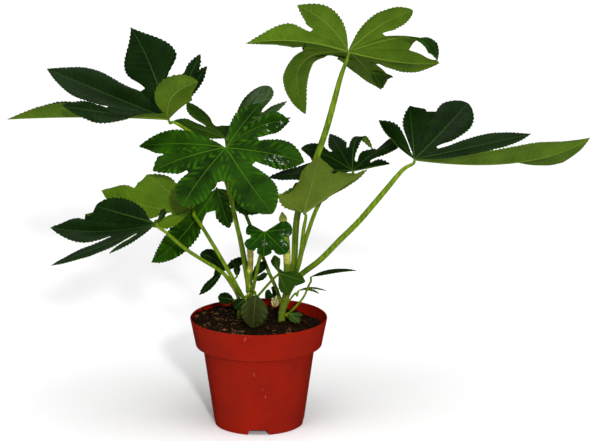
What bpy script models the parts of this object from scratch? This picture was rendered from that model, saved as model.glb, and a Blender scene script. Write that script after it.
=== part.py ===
"""A potted fatsia japonica: a plastic pot, its soil, two leafy stems and a seedling, and one
solid for each leaf blade. Metres, +Z up. The origin is the centre of the pot's underside, and
the photographed side faces -Y. Places on the plant are given in millimetres, because they were
judged by eye to the nearest millimetre, and mm() turns them into metres."""

import math

import bmesh
import bpy
from mathutils import Matrix, Vector, noise

# Pot, turned about Z
POT_HEIGHT = 0.120
RIM_RADIUS = 0.075
BAND_HEIGHT = 0.031
BAND_FOOT_RADIUS = 0.069
BODY_TOP_RADIUS = 0.0613
BASE_RADIUS = 0.049
WALL = 0.0014
LIP = 0.0024
FLOOR_HEIGHT = 0.007
FOOT_DISC_RADIUS = 0.018
FOOT_RING = 0.0022
FOOT_BEVEL = 0.001
FOOT_BEVEL_HEIGHT = 0.003
BAND_EDGE = 0.0008
TURNED_STEPS = 56
TURNED_MERGE = 0.00001

# Notches round the foot and drain holes in the floor
NOTCH_COUNT = 4
NOTCH_WIDTH = 0.024
NOTCH_TOP_WIDTH = 0.0186
NOTCH_HEIGHT = 0.006
NOTCH_REACH = 0.009
DRAIN_COUNT = 8
DRAIN_RADIUS = 0.004
DRAIN_RING_RADIUS = 0.032
DRAIN_SEGMENTS = 12

# Soil
SOIL_HEIGHT = 0.1115
SOIL_EDGE_HEIGHT = 0.104
SOIL_TILT = -0.07
SOIL_BUMP = 0.0022
SOIL_BUMP_SIZE = 0.011
SOIL_RINGS = 9
CLEARANCE = 0.0003
ROOT_DEPTH = 0.018
ROOT_HOLE_CLEARANCE = 0.0004
ROOT_HOLE_SEGMENTS = 16

# Leaf blades. A station is a point along a rib and its margins, and the shares are of a rib's
# length, but the free one is of the room between a rib and the next.
BLADE_THICKNESS = 0.0007
BLADE_STATIONS = 12
SMALL_BLADE_STATIONS = 8
TOOTH = 0.0011
SMALL_TOOTH = 0.0005
WEB_REACH = 1.04
LAST_START = 0.8
EASE_SHARE = 0.22
FULL_ROLL_SHARE = 0.67
FULL_FOLD_SHARE = 0.5
LEAN_SHARE = 0.4
LEAST_LEVEL = 0.22
FREE_SHARE = 0.97
LIMIT_SHARPNESS = 4
BASE_FULLNESS = 0.85
RIB_SAMPLES = 40

# Stems and stalks
STEM_BEVEL_RESOLUTION = 2
STALK_BEVEL_RESOLUTION = 1
STALK_END_RADIUS = 0.0013
STALK_TAPER = 8
STALK_CLEARANCE = 0.00045
MOST_DROOP = 2
NECK_LENGTH = 0.005
POINTS_PER_SPAN = 3
TUBE_MERGE = 0.000001

SHARP_ANGLE = math.radians(35)

# The bud that ends a stem, as heights and radii in shares of the stem's radius
BUD = [(0.7, 1.15), (1.5, 0.95), (2.3, 0.5), (2.9, 0.12)]


def mm(*sizes):
    """Millimetres as metres: one size, or a place."""
    return sizes[0] * 0.001 if len(sizes) == 1 else Vector(sizes) * 0.001


def lobe(tip, breadth, via=None, bow=0, roll=0, fold=0, widest=0.56, point=1.0):
    """One lobe of a leaf: where its tip lies from the leaf's junction, its half-breadth, the
    point that its rib passes halfway, or how far the rib bows up there, how far it rolls about
    its rib and folds along it, in degrees, where it is widest, and how blunt it is."""
    return {
        "tip": mm(*tip),
        "breadth": mm(breadth),
        "via": mm(*via) if via else None,
        "bow": mm(bow),
        "roll": math.radians(roll),
        "fold": math.radians(fold),
        "widest": widest,
        "point": point,
    }


def leaf(junction, cuts, lobes, puffs=None, facing=(0, 0, 1), stations=BLADE_STATIONS, tooth=TOOTH):
    """A palmate leaf: its junction with the stalk, how far out of each cleft the web between two
    lobes reaches as a share of their length, the lobes, counterclockwise seen from above, how
    far each web is puffed up, and which way a leaf of a single lobe faces."""
    return {
        "junction": mm(*junction),
        "cuts": cuts,
        "lobes": lobes,
        "puffs": [mm(puff) for puff in puffs or [0] * len(cuts)],
        "facing": Vector(facing),
        "stations": stations,
        "tooth": tooth,
    }


def small_leaf(junction, cuts, lobes, facing=(0, 0, 1)):
    return leaf(junction, cuts, lobes, None, facing, SMALL_BLADE_STATIONS, SMALL_TOOTH)


LEAVES = {
    "leaf_centre": leaf((-34, -15, 311), [0.72, 0.6, 0.52, 0.42, 0.4, 0.46], [
        lobe((-93, 2, 1), 15, bow=6, fold=20),
        lobe((-77, -21, -21), 16, bow=6),
        lobe((-44, -51, -52), 20, via=(-27, -29, -28), point=0.7, widest=0.6),
        lobe((50, -65, -57), 25, via=(23, -31, -28), point=0.7, widest=0.6),
        lobe((84, -13, -13), 19, via=(45, -5, -5), widest=0.62),
        lobe((68, 23, 24), 16, via=(34, 17, 19), widest=0.62),
        lobe((37, 41, 41), 14, bow=3),
    ], puffs=[0, 0, -2, 0, 3, 2]),
    "leaf_left_high": leaf((-95, -10, 341), [0.3, 0.45, 0.36, 0.45, 0.4, 0.2], [
        lobe((40, 42, 50), 7, widest=0.7),
        lobe((33, 38, 64), 10),
        lobe((-42, 40, 93), 42, via=(-20, 28, 52), widest=0.34, point=1.5),
        lobe((-136, 70, 42), 22, via=(-69, 40, 20)),
        lobe((-171, -5, 1), 19, via=(-83, -2, 3), fold=55, roll=10),
        lobe((-110, -42, 23), 17, via=(-54, -24, 10), roll=-95, widest=0.45),
        lobe((33, -25, 45), 27, via=(6, -22, 29), fold=10, widest=0.42, point=0.8),
    ]),
    "leaf_right": leaf((168, 0, 295), [0.35, 0.27, 0.8, 0.12], [
        lobe((183, -40, 32), 24, via=(108, -28, 3), roll=-60, widest=0.42),
        lobe((128, 34, 21), 13, via=(66, 16, 11)),
        lobe((60, 50, 52), 23, via=(31, 25, 26), point=0.6, widest=0.65),
        lobe((-4, 40, 51), 10),
        lobe((-38, 20, 39), 13, fold=40),
    ]),
    "leaf_top": leaf((96, 0, 412), [0.37, 0.5, 0.42, 0.42, 0.45, 0.52], [
        lobe((67, -25, 48), 19, via=(33, -14, 30), point=0.6),
        lobe((97, 34, -16), 13, via=(72, 10, 14), roll=110),
        lobe((100, 45, -20), 23, via=(54, 24, -15), roll=-10),
        lobe((39, 110, -61), 24, bow=8),
        lobe((-45, 80, -83), 17, via=(-50, 48, -22), roll=-10, widest=0.6, point=0.8),
        lobe((-109, -10, 10), 24, via=(-55, -8, 13), fold=25, roll=20, widest=0.36, point=1.4),
        lobe((-54, -30, 54), 17, via=(-22, -18, 32)),
    ], puffs=[-2, 0, -3, 7, 0, 0]),
    "leaf_pale_right": leaf((49, -35, 244), [0.84, 0.78, 0.3], [
        lobe((-28, 5, 19), 7),
        lobe((17, 35, 54), 14),
        lobe((68, 25, 42), 5),
        lobe((25, 60, 2), 9),
    ]),
    "leaf_left_low": leaf((-108, -40, 234), [0.12, 0.84, 0.42, 0.25], [
        lobe((9, 10, 14), 4),
        lobe((-65, 12, 16), 16, point=0.6),
        lobe((-114, 10, -7), 18, via=(-55, 5, -10)),
        lobe((-109, -35, -37), 11, via=(-55, -18, -20)),
        lobe((-47, -40, -23), 5),
    ]),
    "leaf_pale_left": leaf((-71, 8, 237), [0.3, 0.9, 0.5], [
        lobe((-44, -24, -12), 9),
        lobe((-97, -22, 27), 22, via=(-45, -14, 7)),
        lobe((-48, -20, 44), 15),
        lobe((0, -8, 40), 14),
    ]),
    "leaf_shaded": leaf((-46, 32, 256), [0.3, 0.5], [
        lobe((-70, -37, -74), 14, via=(-37, -22, -48), widest=0.5),
        lobe((14, -16, -41), 11),
        lobe((46, -15, -25), 11),
    ]),
    "leaf_back": leaf((-36, 40, 310), [0.4, 0.33, 0.5, 0.5, 0.4], [
        lobe((71, -10, 25), 9),
        lobe((67, 20, 37), 8),
        lobe((45, 45, 50), 26, point=0.5, widest=0.6),
        lobe((-6, 50, 4), 12),
        lobe((-43, 28, 35), 22),
        lobe((-55, -10, 22), 14),
    ]),
    "leaf_back_right": leaf((102, 30, 276), [0.3, 0.3, 0.17, 0.4, 0.5, 0.5], [
        lobe((40, -20, 12), 8, fold=30),
        lobe((56, 10, 30), 9, via=(34, 4, 25), roll=30),
        lobe((26, 20, 20), 12),
        lobe((23, 34, 16), 6, via=(6, 32, 30)),
        lobe((-24, 50, 31), 10),
        lobe((-56, 30, 18), 11, via=(-33, 25, 14)),
        lobe((-92, -10, -6), 10, via=(-46, -2, -1)),
    ]),
    "leaf_small_left": small_leaf((-40, 29, 163), [0.3, 0.4], [
        lobe((22, 11, 14), 4, widest=0.45),
        lobe((-25, 4, 18), 9, via=(-10, 1, 14), point=0.6),
        lobe((-26, -4, -26), 4),
    ]),
    "leaf_small_middle": small_leaf((22, -5, 170), [0.75, 0.4], [
        lobe((11, -8, -23), 7),
        lobe((29, -6, -8), 8),
        lobe((-5, 9, 18), 6),
    ]),
    "leaf_small_dark": small_leaf((16, 38, 131), [0.4], [
        lobe((1, 3, 13), 5),
        lobe((-9, 2, 7), 6),
    ]),
    "leaf_small_round": small_leaf((-27, -8, 141), [], [
        lobe((-17, -4, 4), 6, point=0.5, widest=0.5),
    ], facing=(0, -1, 0.4)),
    "leaf_small_low": small_leaf((-15, -14, 143), [], [
        lobe((-11, -4, -9), 6, point=0.6),
    ], facing=(0, -1, 0.5)),
    "leaf_small_front": small_leaf((-3, -14, 148), [], [
        lobe((-3, -12, -34), 15, point=0.6, widest=0.5, bow=5, fold=-15),
    ], facing=(0, -1, 0.3)),
    "leaf_small_right": small_leaf((57, 10, 162), [], [
        lobe((50, 10, 4), 4.5, via=(26, 5, 5), widest=0.4),
    ], facing=(0, -0.2, 1)),
    "leaf_small_strip": small_leaf((43, 18, 144), [0.3], [
        lobe((31, 4, -1), 2.5, via=(15, 2, 2)),
        lobe((23, 12, -7), 2.5, via=(12, 6, 0)),
    ]),
    "leaf_small_soil": small_leaf((34, 10, 120), [0.3], [
        lobe((10, -14, -6), 6),
        lobe((14, -2, -1), 3.5),
    ]),
    "leaf_young": small_leaf((8, -70, 232), [1, 1, 1, 1], [
        lobe((-20, 3, 2), 10, point=0.5),
        lobe((-18, -14, -15), 11, point=0.5),
        lobe((-1, -25, -20), 11, point=0.6),
        lobe((23, -20, -18), 12, point=0.5),
        lobe((29, 3, 3), 13, point=0.5),
    ]),
}


# A stalk: its leaf, its radius where it leaves the stem, and the points that it passes.
STEMS = {
    "stem_left": {
        "radius": mm(3.3),
        "foot": mm(-9, 8),
        "route": [mm(-9, 8, 118), mm(-10, 8, 136), mm(-10, 8, 162), mm(-9, 8, 179), mm(-9, 8, 190)],
        "stalks": [
            ("leaf_left_high", mm(2.3), [
                mm(-10, 8, 141), mm(-16, 8, 179), mm(-24, 8, 224), mm(-39, 8, 282), mm(-57, 4, 310),
                mm(-75, -2, 327), mm(-89, -8, 337),
            ]),
            ("leaf_centre", mm(2.3), [
                mm(-11, 7, 146), mm(-19, 6, 199), mm(-26, 4, 233), mm(-32, 0, 275), mm(-34, -8, 298),
            ]),
            ("leaf_left_low", mm(2.0), [
                mm(-11, 6, 130), mm(-36, -6, 168), mm(-63, -18, 190), mm(-79, -28, 204),
                mm(-97, -38, 223),
            ]),
            ("leaf_pale_left", mm(2.2), [
                mm(-10, 6, 126), mm(-30, -6, 168), mm(-44, -8, 194), mm(-60, -6, 221), mm(-69, 0, 233),
            ]),
            ("leaf_young", mm(1.9), [mm(-9, 6, 134), mm(-5, -8, 157), mm(0, -36, 187), mm(5, -56, 211)]),
            ("leaf_shaded", mm(1.9), [
                mm(-10, 9, 150), mm(-16, 20, 185), mm(-25, 32, 218), mm(-41, 40, 246),
            ]),
            ("leaf_small_middle", mm(1.4), [
                mm(-9, 8, 132), mm(2, 5, 145), mm(12, 0, 158), mm(19, -3, 166),
            ]),
            ("leaf_small_front", mm(1.4), [mm(-9, 6, 142), mm(-6, -3, 148), mm(-4, -9, 150)]),
            ("leaf_small_low", mm(1.2), [mm(-11, 6, 138), mm(-11, -4, 143), mm(-14, -9, 145)]),
        ],
    },
    "stem_seedling": {
        "radius": mm(1.9),
        "foot": mm(-22, 14),
        "route": [mm(-22, 14, 118), mm(-21, 17, 128), mm(-24, 20, 139), mm(-30, 24, 149)],
        "stalks": [
            ("leaf_small_left", mm(1.7), [mm(-29, 24, 148), mm(-36, 27, 157)]),
            ("leaf_small_round", mm(1.1), [mm(-21, 16, 124), mm(-26, 8, 132), mm(-28, 1, 137)]),
        ],
    },
    "stem_right": {
        "radius": mm(4.0),
        "foot": mm(25, 16),
        "route": [
            mm(25, 16, 118), mm(28, 16, 131), mm(31, 13, 150), mm(31, 9, 178), mm(30, 7, 200),
            mm(27, 4, 225),
        ],
        "stalks": [
            ("leaf_top", mm(3.5), [
                mm(31, 13, 146), mm(38, 14, 169), mm(42, 10, 230), mm(56, 8, 276), mm(73, 2, 327),
                mm(88, -2, 384),
            ]),
            ("leaf_right", mm(3.2), [
                mm(30, 14, 141), mm(45, 14, 162), mm(67, 10, 181), mm(88, 6, 204), mm(109, 4, 226),
                mm(135, 2, 258), mm(155, 0, 283),
            ]),
            ("leaf_pale_right", mm(2.2), [
                mm(32, 12, 150), mm(41, 4, 167), mm(46, -14, 196), mm(49, -40, 228),
            ]),
            ("leaf_back_right", mm(2.3), [
                mm(32, 14, 148), mm(43, 22, 170), mm(48, 26, 189), mm(63, 34, 232), mm(82, 36, 262),
            ]),
            ("leaf_back", mm(2.0), [
                mm(27, 16, 124), mm(19, 22, 145), mm(11, 28, 162), mm(4, 32, 179), mm(-10, 40, 213),
                mm(-29, 44, 263),
            ]),
            ("leaf_small_right", mm(1.2), [
                mm(27, 15, 116), mm(34, 13, 121), mm(48, 12, 137), mm(55, 10, 153),
            ]),
            ("leaf_small_dark", mm(1.2), [mm(27, 17, 118), mm(22, 32, 126), mm(19, 43, 128)]),
            ("leaf_small_strip", mm(1.1), [mm(28, 17, 126), mm(34, 18, 134), mm(40, 18, 141)]),
            ("leaf_small_soil", mm(1.1), [mm(27, 15, 115), mm(30, 12, 118)]),
        ],
    },
}


class Rib:
    """The midrib of one lobe, an arc from the junction to the lobe's tip."""

    def __init__(self, form, up):
        self.form = form
        self.up = up
        self.tip = form["tip"]
        half = form["via"] or self.tip / 2 + up * form["bow"]
        self.bend = half * 2 - self.tip / 2

    def at(self, t):
        return self.bend * (2 * t * (1 - t)) + self.tip * (t * t)

    def heading(self, t):
        return (self.bend * (1 - t) + (self.tip - self.bend) * t).normalized()

    def nearest(self, point):
        """How far a point is from the rib, and the share of the rib's length where it's nearest."""
        shares = [k / RIB_SAMPLES for k in range(RIB_SAMPLES + 1)]
        return min(((self.at(share) - point).length, share) for share in shares)

    def half_breadth(self, t):
        widest = self.form["widest"]
        if t < widest:
            return self.form["breadth"] * math.sin(math.pi / 2 * t / widest) ** BASE_FULLNESS
        narrowing = math.cos(math.pi / 2 * (t - widest) / (1 - widest))
        return self.form["breadth"] * narrowing ** self.form["point"]


def soft_least(size, limit):
    """The smaller of the two sizes, with a smooth change from one to the other."""
    if not size or math.isinf(limit):
        return size
    return size / (1 + (size / limit) ** LIMIT_SHARPNESS) ** (1 / LIMIT_SHARPNESS)


def across(vector, axis):
    """The unit vector nearest to this one that is square to the axis."""
    return (vector - axis * vector.dot(axis)).normalized()


def ribs_of(form):
    """The leaf's ribs. A rib's upper side is the side that its neighbours turn round."""
    headings = [one["tip"].normalized() for one in form["lobes"]]
    ribs = []
    for index, heading in enumerate(headings):
        up = Vector() if len(headings) > 1 else form["facing"]
        if index > 0:
            up = up + headings[index - 1].cross(heading)
        if index < len(headings) - 1:
            up = up + heading.cross(headings[index + 1])
        ribs.append(Rib(form["lobes"][index], across(up, heading)))
    return ribs


def seam_point(form, ribs, gap, t):
    """A point on the web between two ribs, halfway between them and a little further out."""
    middle = (ribs[gap].at(t) + ribs[gap + 1].at(t)) / 2 * WEB_REACH
    up = (ribs[gap].up + ribs[gap + 1].up).normalized()
    return middle + up * form["puffs"][gap] * min(1, t / form["cuts"][gap])


class Margin:
    """One free side of a lobe, from the end of its web, or from the junction, to the tip. It
    keeps to its own side of the middle between its rib and the neighbouring one."""

    def __init__(self, rib, way, start, end_of_web, neighbour=None):
        self.rib = rib
        self.way = way
        self.start = start
        self.neighbour = neighbour
        offset = end_of_web - rib.at(start)
        heading = rib.heading(start)
        self.side = across(offset, heading)
        self.breadth = offset.dot(self.side)
        self.lead = offset.dot(heading)
        other = neighbour.form["breadth"] if neighbour else 0
        self.room_share = rib.form["breadth"] / (rib.form["breadth"] + other)

    def at(self, t, flat, extra):
        """A point on the margin, where flat is the lobe's own level direction."""
        rib = self.rib
        heading = rib.heading(t)
        q = (t - self.start) / (1 - self.start)
        side = across(self.side * (1 - q) + flat * (self.way * q), heading)
        up = heading.cross(side).normalized() * self.way
        roll = Matrix.Rotation(rib.form["roll"] * min(1, q / FULL_ROLL_SHARE), 3, heading)
        fold = rib.form["fold"] * min(1, q / FULL_FOLD_SHARE)
        side = roll @ (side * math.cos(fold) + up * math.sin(fold))
        ease = min(1, (t - self.start) / EASE_SHARE) if self.start else 1
        ease = ease * ease * (3 - 2 * ease)
        room = self.neighbour.nearest(rib.at(t))[0] * FREE_SHARE if self.neighbour else math.inf
        breadth = self.breadth * (1 - ease) + soft_least(rib.half_breadth(t), room * self.room_share) * ease
        breadth = min(breadth + extra, room * ((1 - ease) / 2 + self.room_share * ease))
        return rib.at(t) + heading * self.lead * (1 - ease) + side * breadth


def outer_margin(rib, way, inner, across_notch):
    """The side of the first or last lobe that has no web. It leans as the lobe's other side."""
    heading = rib.heading(LEAN_SHARE)
    side = across(rib.up.cross(heading) * way, heading)
    if inner:
        lean = inner.side.dot(rib.up)
        level = across(rib.up * lean - inner.side, heading)
        breadth = max(LEAST_LEVEL, math.sqrt(1 - lean * lean))
        side = across(level * breadth + rib.up * lean, heading)
    return Margin(rib, way, 0, side, across_notch)


def margins_of(form, ribs, ends):
    """Each rib's two margins, as (right, left): a lobe's neighbour on its left is the next one."""
    pairs = []
    for index, rib in enumerate(ribs):
        pair = {}
        for way, gap in ((-1, index - 1), (1, index)):
            if 0 <= gap < len(ends):
                end_of_web = seam_point(form, ribs, gap, ends[gap] / form["stations"])
                start = min(LAST_START, rib.nearest(end_of_web)[1])
                pair[way] = Margin(rib, way, start, end_of_web, ribs[index + way])
        for way in (-1, 1):
            if way not in pair:
                across_notch = ribs[-1 - index] if len(ribs) > 2 else None
                pair[way] = outer_margin(rib, way, pair.get(-way), across_notch)
        pairs.append((pair[-1], pair[1]))
    return pairs


def add_half(mesh, rib, edge, way):
    """Triangles between a rib and the edge of one half of its lobe, facing the upper side."""
    for a, b, c, d in zip(rib, rib[1:], edge[1:], edge):
        for corners in ((a, b, c), (a, c, d)):
            if len(set(corners)) == 3:
                mesh.faces.new(corners[::way])


def blade_mesh(form):
    """The leaf's blade as a surface of triangles, from its ribs out to its toothed margins."""
    count = form["stations"]
    ribs = ribs_of(form)
    ends = [min(count - 2, max(1, round(cut * count))) for cut in form["cuts"]]
    mesh = bmesh.new()
    centre = mesh.verts.new(form["junction"])

    def put(point):
        return mesh.verts.new(form["junction"] + point)

    lines = [[centre] + [put(rib.at(k / count)) for k in range(1, count + 1)] for rib in ribs]
    webs = []
    for gap, end in enumerate(ends):
        webs.append([centre] + [put(seam_point(form, ribs, gap, k / count)) for k in range(1, end + 1)])
    for index, (right, left) in enumerate(margins_of(form, ribs, ends)):
        flat = across(left.side - right.side, ribs[index].heading(0.5))
        for margin, gap in ((right, index - 1), (left, index)):
            edge = list(webs[gap]) if margin.start else [centre]
            first = len(edge)
            for k in range(first, count):
                tooth = form["tooth"] * ((k - first) % 2)
                t = margin.start + (1 - margin.start) * (k - first + 1) / (count - first + 1)
                edge.append(put(margin.at(t, flat, tooth)))
            edge.append(lines[index][-1])
            add_half(mesh, lines[index], edge, margin.way)
    return mesh


def material(name, colour, roughness, metallic=0.0):
    """A plain material of this colour."""
    made = bpy.data.materials.new(name)
    made.use_nodes = True
    shader = made.node_tree.nodes["Principled BSDF"]
    shader.inputs["Base Color"].default_value = (*colour, 1)
    shader.inputs["Roughness"].default_value = roughness
    shader.inputs["Metallic"].default_value = metallic
    made.diffuse_color = (*colour, 1)
    return made


def add_object(name, data, collection, finish=None):
    made = bpy.data.objects.new(name, data)
    collection.objects.link(made)
    if finish:
        data.materials.append(finish)
    return made


def object_of(name, mesh, collection, finish=None):
    """A new object from a bmesh, which is freed."""
    data = bpy.data.meshes.new(name)
    mesh.to_mesh(data)
    mesh.free()
    return add_object(name, data, collection, finish)


def applied(made):
    """Replaces an object's mesh by what its modifiers make of it."""
    graph = bpy.context.evaluated_depsgraph_get()
    data = bpy.data.meshes.new_from_object(made.evaluated_get(graph))
    made.modifiers.clear()
    made.data = data
    return made


def make_blade(name, form, parts, finish):
    blade = object_of(name, blade_mesh(form), parts, finish)
    thick = blade.modifiers.new("Thickness", "SOLIDIFY")
    thick.thickness = BLADE_THICKNESS
    thick.offset = 0
    return blade


def stalk_end(form):
    """Where a stalk stops under its leaf, clear of every lobe, and the direction down from there."""
    ribs = ribs_of(form)
    up = Vector()
    for rib in ribs:
        up = up + rib.up * rib.tip.length
    down = -up.normalized()
    droop = 0
    for rib in ribs:
        heading = rib.bend.normalized()
        level = across(heading, down)
        droop = max(droop, heading.dot(down) / max(LEAST_LEVEL, heading.dot(level)))
    depth = BLADE_THICKNESS / 2 + STALK_CLEARANCE + STALK_END_RADIUS * min(MOST_DROOP, droop)
    return form["junction"] + down * depth, down


def smooth_route(points):
    """Points along a smooth curve through these ones."""
    route = []
    last = len(points) - 1
    for index in range(last):
        before = points[max(0, index - 1)]
        start, end = points[index], points[index + 1]
        after = points[min(last, index + 2)]
        for step in range(POINTS_PER_SPAN):
            t = step / POINTS_PER_SPAN
            bend = (before * -1 + start * 3 - end * 3 + after) * t ** 3
            lean = (before * 2 - start * 5 + end * 4 - after) * t ** 2
            route.append((start * 2 + (end - before) * t + lean + bend) / 2)
    return route + [points[-1]]


def make_tube(name, points, radii, resolution, collection):
    """A closed round tube along these points, as a mesh."""
    data = bpy.data.curves.new(name, "CURVE")
    data.dimensions = "3D"
    data.bevel_depth = 1
    data.bevel_resolution = resolution
    data.use_fill_caps = True
    spline = data.splines.new("POLY")
    spline.points.add(len(points) - 1)
    for place, point, radius in zip(spline.points, points, radii):
        place.co = (*point, 1)
        place.radius = radius
    curve = add_object(name + "_curve", data, collection)
    bpy.context.view_layer.update()
    graph = bpy.context.evaluated_depsgraph_get()
    solid = bmesh.new()
    whole = bpy.data.meshes.new_from_object(curve.evaluated_get(graph))
    solid.from_mesh(whole)
    bmesh.ops.remove_doubles(solid, verts=solid.verts, dist=TUBE_MERGE)
    bmesh.ops.recalc_face_normals(solid, faces=solid.faces)
    tube = object_of(name, solid, collection)
    bpy.data.objects.remove(curve)
    bpy.data.meshes.remove(whole)
    return tube


def united(name, pieces, parts, finish):
    """One object from overlapping closed ones, which are removed."""
    group = bpy.data.collections.new(name + "_pieces")
    bpy.context.scene.collection.children.link(group)
    whole, *others = pieces
    for piece in others:
        group.objects.link(piece)
        parts.objects.unlink(piece)
    join = whole.modifiers.new("Join", "BOOLEAN")
    join.operation = "UNION"
    join.operand_type = "COLLECTION"
    join.collection = group
    join.solver = "EXACT"
    bpy.context.view_layer.update()
    applied(whole)
    for piece in others:
        bpy.data.objects.remove(piece)
    bpy.data.collections.remove(group)
    whole.name = name
    whole.data.materials.clear()
    whole.data.materials.append(finish)
    return whole


def make_stem(name, form, parts, finish):
    """A stem standing in the soil, with the stalks of its leaves fused to it."""
    root = Vector((*form["foot"], SOIL_HEIGHT - ROOT_DEPTH))
    route = [root] + smooth_route(form["route"])
    radii = [form["radius"]] * len(route)
    onward = (route[-1] - route[-2]).normalized()
    for height, share in BUD:
        route.append(form["route"][-1] + onward * height * form["radius"])
        radii.append(share * form["radius"])
    pieces = [make_tube(name + "_trunk", route, radii, STEM_BEVEL_RESOLUTION, parts)]
    for leaf_name, radius, points in form["stalks"]:
        end, down = stalk_end(LEAVES[leaf_name])
        arrival = (down * 2 + (points[-1] - end).normalized()).normalized()
        route = smooth_route(points + [end + arrival * NECK_LENGTH]) + [end]
        last = len(route) - 1
        radii = [radius + (STALK_END_RADIUS - radius) * (k / last) ** STALK_TAPER for k in range(last + 1)]
        pieces.append(make_tube(leaf_name + "_stalk", route, radii, STALK_BEVEL_RESOLUTION, parts))
    return united(name, pieces, parts, finish)


def band_foot():
    return POT_HEIGHT - BAND_HEIGHT


def band_radius(height):
    """The outer radius of the rim band at this height."""
    share = (POT_HEIGHT - height) / BAND_HEIGHT
    return RIM_RADIUS + (BAND_FOOT_RADIUS - RIM_RADIUS) * share


def body_radius(height):
    """The outer radius of the body below the band at this height."""
    return BASE_RADIUS + (BODY_TOP_RADIUS - BASE_RADIUS) * height / band_foot()


def inside_of_pot(top, gap):
    """Points down the inside of the pot from this height, this far from the plastic."""
    floor = FLOOR_HEIGHT + WALL + gap
    ledge = band_foot() + WALL + gap
    side = WALL + gap
    return [
        (band_radius(top) - side, top),
        (band_radius(ledge) - side, ledge),
        (body_radius(ledge) - side, ledge),
        (body_radius(floor) - side, floor),
        (0, floor),
    ]


def turned(name, points, parts):
    """A solid of revolution. The points run down its outer side."""
    mesh = bmesh.new()
    line = [mesh.verts.new((radius, 0, height)) for radius, height in points]
    for start, end in zip(line, line[1:]):
        mesh.edges.new((start, end))
    made = object_of(name, mesh, parts)
    screw = made.modifiers.new("Turn", "SCREW")
    screw.steps = TURNED_STEPS
    screw.render_steps = TURNED_STEPS
    screw.use_merge_vertices = True
    screw.merge_threshold = TURNED_MERGE
    screw.use_normal_calculate = True
    return made


def cutter_object(name, mesh, cutters):
    made = object_of(name, mesh, cutters)
    made.hide_render = True
    made.display_type = "WIRE"
    return made


def cut(made, cutter):
    step = made.modifiers.new("Cut " + cutter.name, "BOOLEAN")
    step.operation = "DIFFERENCE"
    step.object = cutter
    step.solver = "EXACT"


def notch_cutter(cutters):
    """Wedges through the foot ring, narrower at the top, the first of them at the front."""
    mesh = bmesh.new()
    for index in range(NOTCH_COUNT):
        made = bmesh.ops.create_cube(mesh, size=1)["verts"]
        for vert in made:
            top = vert.co.z > 0
            width = NOTCH_TOP_WIDTH if top else NOTCH_WIDTH * 2 - NOTCH_TOP_WIDTH
            height = NOTCH_HEIGHT if top else -NOTCH_HEIGHT
            vert.co = Vector((vert.co.x * width, vert.co.y * NOTCH_REACH - BASE_RADIUS, height))
        spin = Matrix.Rotation(math.tau * index / NOTCH_COUNT, 3, "Z")
        bmesh.ops.rotate(mesh, verts=made, cent=(0, 0, 0), matrix=spin)
    return cutter_object("notch_cutter", mesh, cutters)


def drain_cutter(cutters):
    """Round holes through the raised floor."""
    mesh = bmesh.new()
    for index in range(DRAIN_COUNT):
        turn = math.tau * (index + 0.5) / DRAIN_COUNT
        place = Vector((math.cos(turn), math.sin(turn), 0)) * DRAIN_RING_RADIUS
        place.z = FLOOR_HEIGHT
        bmesh.ops.create_cone(mesh, cap_ends=True, segments=DRAIN_SEGMENTS, radius1=DRAIN_RADIUS,
                              radius2=DRAIN_RADIUS, depth=FLOOR_HEIGHT, matrix=Matrix.Translation(place))
    return cutter_object("drain_cutter", mesh, cutters)


def make_pot(parts, cutters, finish):
    foot = band_foot()
    inner = inside_of_pot(POT_HEIGHT - LIP / 2, 0)
    points = inner[::-1] + [
        (RIM_RADIUS - LIP / 2, POT_HEIGHT),
        (RIM_RADIUS - LIP / 6, POT_HEIGHT - LIP / 6),
        (RIM_RADIUS, POT_HEIGHT - LIP / 2),
        (band_radius(foot + BAND_EDGE), foot + BAND_EDGE),
        (BAND_FOOT_RADIUS - BAND_EDGE, foot),
        (body_radius(foot) + BAND_EDGE, foot),
        (body_radius(foot - BAND_EDGE), foot - BAND_EDGE),
        (body_radius(FOOT_BEVEL_HEIGHT), FOOT_BEVEL_HEIGHT),
        (BASE_RADIUS - FOOT_BEVEL / 3, FOOT_BEVEL),
        (BASE_RADIUS - FOOT_BEVEL, 0),
        (BASE_RADIUS - FOOT_RING, 0),
        (BASE_RADIUS - FOOT_RING, FLOOR_HEIGHT),
        (FOOT_DISC_RADIUS, FLOOR_HEIGHT),
        (FOOT_DISC_RADIUS, 0),
        (0, 0),
    ]
    pot = turned("pot", points, parts)
    cut(pot, notch_cutter(cutters))
    cut(pot, drain_cutter(cutters))
    pot.data.materials.append(finish)
    return pot


def make_soil(parts, cutters, finish):
    """A plug of potting soil with a lumpy top, and a hole for the foot of each stem."""
    outer = inside_of_pot(SOIL_EDGE_HEIGHT, CLEARANCE)
    edge = outer[0][0]
    top = [(edge * ring / SOIL_RINGS, SOIL_HEIGHT) for ring in range(SOIL_RINGS + 1)]
    soil = applied(turned("soil", top + outer, parts))
    for vert in soil.data.vertices:
        if vert.co.z > SOIL_HEIGHT - CLEARANCE:
            lump = noise.noise(vert.co / SOIL_BUMP_SIZE)
            vert.co.z += SOIL_BUMP * lump + SOIL_TILT * vert.co.x
            spread = (band_radius(vert.co.z) - WALL - CLEARANCE) / edge
            vert.co.x *= spread
            vert.co.y *= spread
    mesh = bmesh.new()
    for form in STEMS.values():
        radius = form["radius"] + ROOT_HOLE_CLEARANCE
        height = 2 * (ROOT_DEPTH + CLEARANCE)
        place = Matrix.Translation(Vector((*form["foot"], SOIL_HEIGHT)))
        bmesh.ops.create_cone(mesh, cap_ends=True, segments=ROOT_HOLE_SEGMENTS,
                              radius1=radius, radius2=radius, depth=height, matrix=place)
    cut(soil, cutter_object("root_cutter", mesh, cutters))
    soil.data.materials.append(finish)
    return soil


def clear_scene():
    for existing in list(bpy.data.objects):
        bpy.data.objects.remove(existing, do_unlink=True)


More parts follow.
